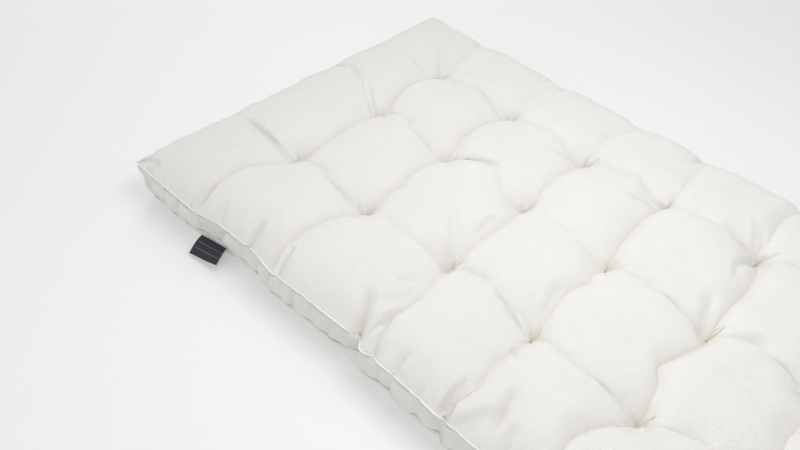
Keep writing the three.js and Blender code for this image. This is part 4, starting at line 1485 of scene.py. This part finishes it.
# %% The graph of a material
class Graph:
    """The node graph of one new material."""

    def __init__(self, name):
        self.material = bpy.data.materials.new(name)
        self.material.use_nodes = True
        self.tree = self.material.node_tree
        self.shader = self.tree.nodes["Principled BSDF"]

    def put(self, socket, value):
        if isinstance(value, Signal):
            self.tree.links.new(value.socket, socket)
        else:
            socket.default_value = value

    def node(self, kind, settings, sockets):
        """Adds a node: its settings first, then the values or links of its sockets."""
        made = self.tree.nodes.new(kind)
        for name, value in settings.items():
            setattr(made, name, value)
        for key, value in sockets.items():
            self.put(made.inputs[key], value)
        return [Signal(self, socket) for socket in made.outputs if socket.enabled]

    def cloth_place(self):
        """The cloth's own flat coordinates, in metres."""
        return self.node("ShaderNodeUVMap", {"uv_map": "cloth"}, {})[0]

    def parts(self, vector):
        return self.node("ShaderNodeSeparateXYZ", {}, {0: vector})[:3]

    def scaled(self, vector, sizes):
        return self.node("ShaderNodeVectorMath", {"operation": "MULTIPLY"}, {0: vector, 1: sizes})[0]

    def noise(self, vector, per_metre, detail=2.0, roughness=0.5):
        sockets = {"Vector": vector, "Scale": per_metre, "Detail": detail, "Roughness": roughness}
        return self.node("ShaderNodeTexNoise", {}, sockets)[0]

    def mixed(self, share, first, second):
        """A colour between two, by a share from 0 to 1."""
        made = self.node("ShaderNodeMix", {"data_type": "RGBA"}, {0: share, 6: first, 7: second})
        return made[0]

    def finish(self, color, height=None, distance=0.001, **constants):
        """Feeds the shader; varying roughness comes in as a Signal like the colour."""
        self.put(self.shader.inputs["Base Color"], color)
        if height is not None:
            sockets = {"Height": height, "Strength": 1.0, "Distance": distance}
            bump = self.node("ShaderNodeBump", {}, sockets)[0]
            self.put(self.shader.inputs["Normal"], bump)
        for name, value in constants.items():
            self.put(self.shader.inputs[name.replace("_", " ").title()], value)
        return self.material


# %% [markdown]
# ## The cotton
# The cover is unbleached cotton in a fine twill: warm white, dull, with threads that
# differ a little in thickness and a few dark flecks of seed husk. Where the cloth dives into
# a valley, a crease, the funnel of a tie, a corner or the groove beside a seam, a warmer and
# darker colour is painted in: painted shade, for the light that reaches it only off other
# cloth. The twill is built from two sets of threads, each a rounded wave along one
# direction, that trade places in steps. The weave is finer than a pixel from afar, so it
# stays in the bump and a faint tone, and only the folds are real relief. How much painted
# shade each point gets, from how near it lies to a valley or a tie and how deep in a
# crease, is worked out on the net and kept as an attribute.

# %% Painted shade in the hollows
# How strongly the painted shade of each hollow shows, and how far from it, in millimetres
FOOT_SIDE_PAINTED_SHADE = ((0.55, 5), (0.34, 18))  # at the foot of the soft slope down to a row
HEAD_SIDE_PAINTED_SHADE = (0.3, 1.6)
COLUMN_SIDE_PAINTED_SHADE = (0.6, 3.2)
TIE_PAINTED_SHADE = (0.75, 9)
CORNER_PAINTED_SHADE = (0.9, 11)
CREASE_PAINTED_SHADE = (0.045, 0.6)  # for each millimetre of depth, past this depth
GROOVE_PAINTED_SHADE = 0.8
GROOVE_PAINTED_SHADE_PLACES = ((0.05, 0.04), (0.955, 0.04))  # shares of the way down the band
ROW_PAINTED_SHADE, COLUMN_PAINTED_SHADE = 2.0, 2.4  # a shallower valley has a weaker tone


def painted_shade_shares():
    """How much painted shade each point of the top gets: 0 on the pillows and up to 1 deep in a valley or a
    crease.
    """
    i, s, from_row, to_row = line_gaps(U_GRID, NET_X)
    j, t, from_column, to_column = line_gaps(V_GRID, NET_Y)
    row_depth = ROW_PAINTED_SHADE * (1 - floors(i, s, j, ROW_BENDS, ROW_DEPTH))
    column_depth = COLUMN_PAINTED_SHADE * (1 - floors(j, t, i, COLUMN_BENDS, COLUMN_DEPTH))
    to_column = np.minimum(from_column, to_column)
    tie = np.hypot(np.minimum(from_row, to_row), to_column)
    corner = from_corner(TOP_PLAN[..., 0], TOP_PLAN[..., 1])
    tones = (
        row_depth * sum(strength * np.exp(-to_row / reach) for strength, reach in FOOT_SIDE_PAINTED_SHADE),
        row_depth * HEAD_SIDE_PAINTED_SHADE[0] * np.exp(-from_row / HEAD_SIDE_PAINTED_SHADE[1]),
        column_depth * COLUMN_SIDE_PAINTED_SHADE[0] * np.exp(-to_column / COLUMN_SIDE_PAINTED_SHADE[1]),
        TIE_PAINTED_SHADE[0] * np.exp(-tie / TIE_PAINTED_SHADE[1]),
        CORNER_PAINTED_SHADE[0] * bell(corner, CORNER_PAINTED_SHADE[1]),
        CREASE_PAINTED_SHADE[0] * (-TOP_RELIEF - CREASE_PAINTED_SHADE[1]),
    )
    return np.clip(np.maximum.reduce(tones), 0, 1)


def keep_painted_shade():
    values = np.zeros(len(pad.data.vertices))
    deep = painted_shade_shares()
    values[:deep.size] = deep.ravel()
    # Painted shade in the grooves just below the top seam and just above the lower seam, on every ring of
    # the band
    down = np.array(BAND_DOWNS)
    bells = [bell(down - place, half) for place, half in GROOVE_PAINTED_SHADE_PLACES]
    groove = np.maximum(*bells) * GROOVE_PAINTED_SHADE
    side_values = np.repeat(groove, len(STATIONS))
    values[deep.size:deep.size + len(side_values)] = side_values
    # The share of painted shade, kept on the pad's points for the cotton to read
    attribute = pad.data.attributes.new("painted_shade", "FLOAT", "POINT")
    attribute.data.foreach_set("value", values)
    return deep


print("deepest hollow:", round(float(keep_painted_shade().max()), 2))

# %% The cotton's weave
THREAD_PITCH = 0.0014
COTTON = (0.872, 0.863, 0.83, 1)
COTTON_DULL = (0.826, 0.815, 0.781, 1)
# Next: the warm, darker colour of the painted shade in valleys, creases, tie funnels, corners and seam
# grooves
PAINTED_SHADE_COLOR = (0.60, 0.51, 0.39, 1)
FLECK = (0.36, 0.27, 0.17, 1)
# How the painted shade grows with its share on the net, and how strongly it is mixed in at most
PAINTED_SHADE_POWER, PAINTED_SHADE_STRENGTH = 1.2, 0.6
# Sizes of the cotton's unevenness, as waves of noise for each metre
SLUBS_PER_METRE = 620
CLOUDS_PER_METRE = 9
PATCHES_PER_METRE = 42
FLECKS_PER_METRE = 260
FLECK_RANGE = (0.775, 0.81)  # only the peaks of the noise, so that flecks are rare
FLECK_STRENGTH = 0.4
TONE_RANGE = (0.47, 1.02)
COTTON_BUMP = 0.0009  # metres


def twill(graph, place, pitch):
    """Height of a twill: floats that step sideways by one thread from row to row."""
    across, down, _ = graph.parts(place)
    warp = (across * (2 * math.pi / pitch)).sine()
    weft = (down * (2 * math.pi / pitch)).sine()
    diagonal = ((across + down) * (2 * math.pi / (pitch * 2))).sine()
    on_top = diagonal.between(-0.35, 0.35)
    return warp * 0.5 * on_top + weft * 0.5 * (1 - on_top) + diagonal * 0.35


def cotton_material():
    graph = Graph("cotton_twill")
    place = graph.cloth_place()
    weave = twill(graph, place, THREAD_PITCH)
    slub_warp = graph.noise(graph.scaled(place, (1, 0.04, 1)), SLUBS_PER_METRE, 1)
    slub_weft = graph.noise(graph.scaled(place, (0.04, 1, 1)), SLUBS_PER_METRE, 1)
    slubs = (slub_warp + slub_weft) * 0.5
    clouds = graph.noise(place, CLOUDS_PER_METRE, 3, 0.55)
    patches = graph.noise(place, PATCHES_PER_METRE, 4, 0.6)
    flecks = graph.noise(place, FLECKS_PER_METRE, 1).between(*FLECK_RANGE)
    tone = (clouds * 0.55 + patches * 0.35 + slubs * 0.6 + weave * 0.18).between(*TONE_RANGE)
    color = graph.mixed(tone, COTTON_DULL, COTTON)
    # Painted shade: the share kept on the net mixes in the warm, darker colour
    painted_shade = graph.node("ShaderNodeAttribute", {"attribute_name": "painted_shade"}, {})[2]
    color = graph.mixed(painted_shade ** PAINTED_SHADE_POWER * PAINTED_SHADE_STRENGTH, color, PAINTED_SHADE_COLOR)
    color = graph.mixed(flecks * FLECK_STRENGTH, color, FLECK)
    height = weave * 0.5 + slubs * 0.8 + patches * 0.6
    roughness = 0.86 + 0.08 * tone
    sheen = {"sheen_weight": 0.12, "sheen_roughness": 0.5}
    return graph.finish(color, height, COTTON_BUMP, roughness=roughness, **sheen)


cotton = cotton_material()
pad.data.materials.append(cotton)
print("cotton nodes:", len(cotton.node_tree.nodes))

# %% [markdown]
# ### The lips
# The lip is the same cotton, turned over and stitched through every seven millimetres:
# a shallow dent and a thread that is a shade darker, on both sides of the edge.

# %% Lip cotton
LIP_DULL = (0.78, 0.77, 0.73, 1)
LIP_LIGHT = (0.86, 0.85, 0.815, 1)
STITCH_THREAD = (0.58, 0.53, 0.44, 1)
LIP_SLUBS_PER_METRE = 500
LIP_BUMP = 0.0006


def lip_material():
    graph = Graph("lip_cotton")
    place = graph.cloth_place()
    along, girth, _ = graph.parts(place)
    weave = twill(graph, place, THREAD_PITCH * 0.9)
    stitch_wave = (along * (2 * math.pi / (LIP_PITCH * MM))).sine()
    on_thread = (girth * (2 * math.pi / (len(LIP_SECTION) * GIRTH_STEP * MM))).sine().between(0.55, 0.9)
    stitch = stitch_wave.between(-0.2, 0.3) * on_thread
    slubs = graph.noise(graph.scaled(place, (1, 0.1, 1)), LIP_SLUBS_PER_METRE, 2)
    color = graph.mixed((slubs * 0.9 + weave * 0.08).clamped(), LIP_DULL, LIP_LIGHT)
    color = graph.mixed(stitch * 0.35, color, STITCH_THREAD)
    height = weave * 0.4 + slubs - stitch * 0.8
    return graph.finish(color, height, LIP_BUMP, roughness=0.86 + slubs * 0.1)


lip_cotton = lip_material()
for lip in (top_lip, low_lip):
    lip.data.materials.append(lip_cotton)
print("lip nodes:", len(lip_cotton.node_tree.nodes))

# %% [markdown]
# ### The thread of the ties
# Each tie is cream cotton thread, twisted from strands. The strands show as slanting
# ridges, made from a wave along the object's own coordinates, with a little fuzz.

# %% Thread
THREAD_DARK = (0.76, 0.68, 0.52, 1)
THREAD_LIGHT = (0.92, 0.86, 0.73, 1)
PLY_PITCH = 0.0011
THREAD_FUZZ_PER_METRE = 2200
THREAD_BUMP = 0.0003


def thread_material():
    graph = Graph("tie_cotton_thread")
    place = graph.node("ShaderNodeTexCoord", {}, {})[3]
    x, y, z = graph.parts(place)
    ply = ((x + y * 0.7 + z * 1.3) * (2 * math.pi / PLY_PITCH)).sine()
    fuzz = graph.noise(place, THREAD_FUZZ_PER_METRE, 2)
    tone = (ply * 0.25 + fuzz * 0.7 + 0.15).clamped()
    color = graph.mixed(tone, THREAD_DARK, THREAD_LIGHT)
    return graph.finish(color, ply * 0.6 + fuzz * 0.5, THREAD_BUMP, roughness=0.7 + fuzz * 0.2)


tie_thread = thread_material()
for thing in ties + stitches:
    thing.data.materials.append(tie_thread)
print("thread nodes:", len(tie_thread.node_tree.nodes))

# %% [markdown]
# ### The ribbon of the label
# A woven ribbon, dark slate blue: fine ribs across, two thin pale lines along it, and a
# pale cut edge at the end, where the undyed threads show. The cloth's own coordinates
# run along the label and out from the seam, so both lines are bands of one coordinate.

# %% Ribbon
LABEL_LINES = (0.0124, 0.0231)  # metres out from the seam
LINE_HALF = 0.00035
LINE_STARTS = (0.003, 0.0035)  # metres along the label, as are the next two
LINE_ENDS = (0.0525, 0.053)
CUT_EDGE = (0.0542, 0.0548)
RIB_PITCH, PICK_PITCH, DASH_PITCH = 0.0006, 0.0005, 0.0012
RIBBON_FUZZ_PER_METRE = 1400
RIBBON_BUMP = 0.0003
SLATE_DARK = (0.016, 0.018, 0.028, 1)
SLATE_LIGHT = (0.042, 0.045, 0.062, 1)
LINE_COLOR = (0.42, 0.42, 0.40, 1)
CUT_THREADS = (0.78, 0.77, 0.74, 1)


def ribbon_material():
    graph = Graph("slate_ribbon")
    place = graph.cloth_place()
    along, out, _ = graph.parts(place)
    ribs = (out * (2 * math.pi / RIB_PITCH)).sine()
    picks = (along * (2 * math.pi / PICK_PITCH)).sine()
    fuzz = graph.noise(place, RIBBON_FUZZ_PER_METRE, 2)
    dashes = (along * (2 * math.pi / DASH_PITCH)).sine().between(-0.7, 0.2)
    marks = 0.0
    for center in LABEL_LINES:
        away = (out - center).math("ABSOLUTE")
        marks = marks + (1 - away.between(LINE_HALF * 0.6, LINE_HALF * 1.6)) * (0.35 + dashes * 0.65)
    inside = along.between(*LINE_STARTS) * (1 - along.between(*LINE_ENDS))
    cut_edge = along.between(*CUT_EDGE)
    tone = (fuzz * 0.8 + ribs * 0.15 + picks * 0.1).clamped()
    dark = graph.mixed(tone, SLATE_DARK, SLATE_LIGHT)
    color = graph.mixed((marks * inside * 0.75).clamped(), dark, LINE_COLOR)
    color = graph.mixed(cut_edge * 0.9, color, CUT_THREADS)
    height = ribs * 0.4 + picks * 0.3 + marks * 0.6
    return graph.finish(color, height, RIBBON_BUMP, roughness=0.62 + fuzz * 0.15)


ribbon = ribbon_material()
label.data.materials.append(ribbon)
print("ribbon nodes:", len(ribbon.node_tree.nodes))

# %% [markdown]
# ## The floor and the light
# The photograph was taken on a pale sweep in soft light from all round, a little
# stronger from above and from the head end, so a white world is joined by three soft
# boxes. A lit sweep is bright by itself, so part of the floor's brightness here is its
# own: without it the shade beside the mattress would be wider and darker.

# %% Floor
FLOOR_REACH = 6.0
FLOOR_GAP = 0.0002  # below the pad, so that the two don't share one plane
FLOOR_DULL = (0.50, 0.50, 0.50, 1)
FLOOR_LIGHT = (0.53, 0.53, 0.53, 1)
FLOOR_GRAIN_PER_METRE, FLOOR_CLOUDS_PER_METRE = 90, 1.3
FLOOR_BUMP = 0.0002
FLOOR_GLOW = {"emission_color": (1, 1, 1, 1), "emission_strength": 0.31}


def add_floor():
    mesh = bpy.data.meshes.new("floor")
    reach, low = FLOOR_REACH, -FLOOR_GAP
    corners = [(-reach, -reach, low), (reach, -reach, low), (reach, reach, low), (-reach, reach, low)]
    mesh.from_pydata(corners, [], [(0, 1, 2, 3)])
    thing = bpy.data.objects.new("floor", mesh)
    bpy.context.scene.collection.objects.link(thing)
    return thing


def floor_material():
    graph = Graph("pale_sweep")
    place = graph.node("ShaderNodeTexCoord", {}, {})[3]
    grain = graph.noise(place, FLOOR_GRAIN_PER_METRE, 3)
    clouds = graph.noise(place, FLOOR_CLOUDS_PER_METRE, 2)
    color = graph.mixed(grain * 0.5 + clouds * 0.5, FLOOR_DULL, FLOOR_LIGHT)
    return graph.finish(color, grain, FLOOR_BUMP, roughness=0.8, **FLOOR_GLOW)


floor = add_floor()
floor.data.materials.append(floor_material())
print("floor reaches, m:", FLOOR_REACH)

# %% Light
WORLD_STRENGTH = 0.665
LIGHTS_AIM = (-0.1, 0, 0)
# Each light: name, place, width in metres, watts
LIGHTS = [
    ("overhead_softbox", (-0.02, 0.02, 1.0), 0.6, 5.0),
    ("head_softbox", (-2.0, 0.9, 1.5), 0.9, 10.5),
    ("near_softbox", (0.5, -2.2, 1.15), 1.2, 9.5),
]


def add_world():
    world = bpy.data.worlds.new("studio")
    bpy.context.scene.world = world
    world.use_nodes = True
    background = world.node_tree.nodes["Background"]
    background.inputs["Color"].default_value = (1, 1, 1, 1)
    background.inputs["Strength"].default_value = WORLD_STRENGTH


def add_light(name, place, size, watts):
    data = bpy.data.lights.new(name, "AREA")
    data.shape = "SQUARE"
    data.size = size
    data.energy = watts
    lamp = bpy.data.objects.new(name, data)
    bpy.context.scene.collection.objects.link(lamp)
    lamp.location = place
    lamp.rotation_euler = (Vector(LIGHTS_AIM) - lamp.location).to_track_quat("-Z", "Y").to_euler()


bpy.context.scene.view_settings.view_transform = "Standard"
add_world()
for light in LIGHTS:
    add_light(*light)
print("lights:", len(LIGHTS))
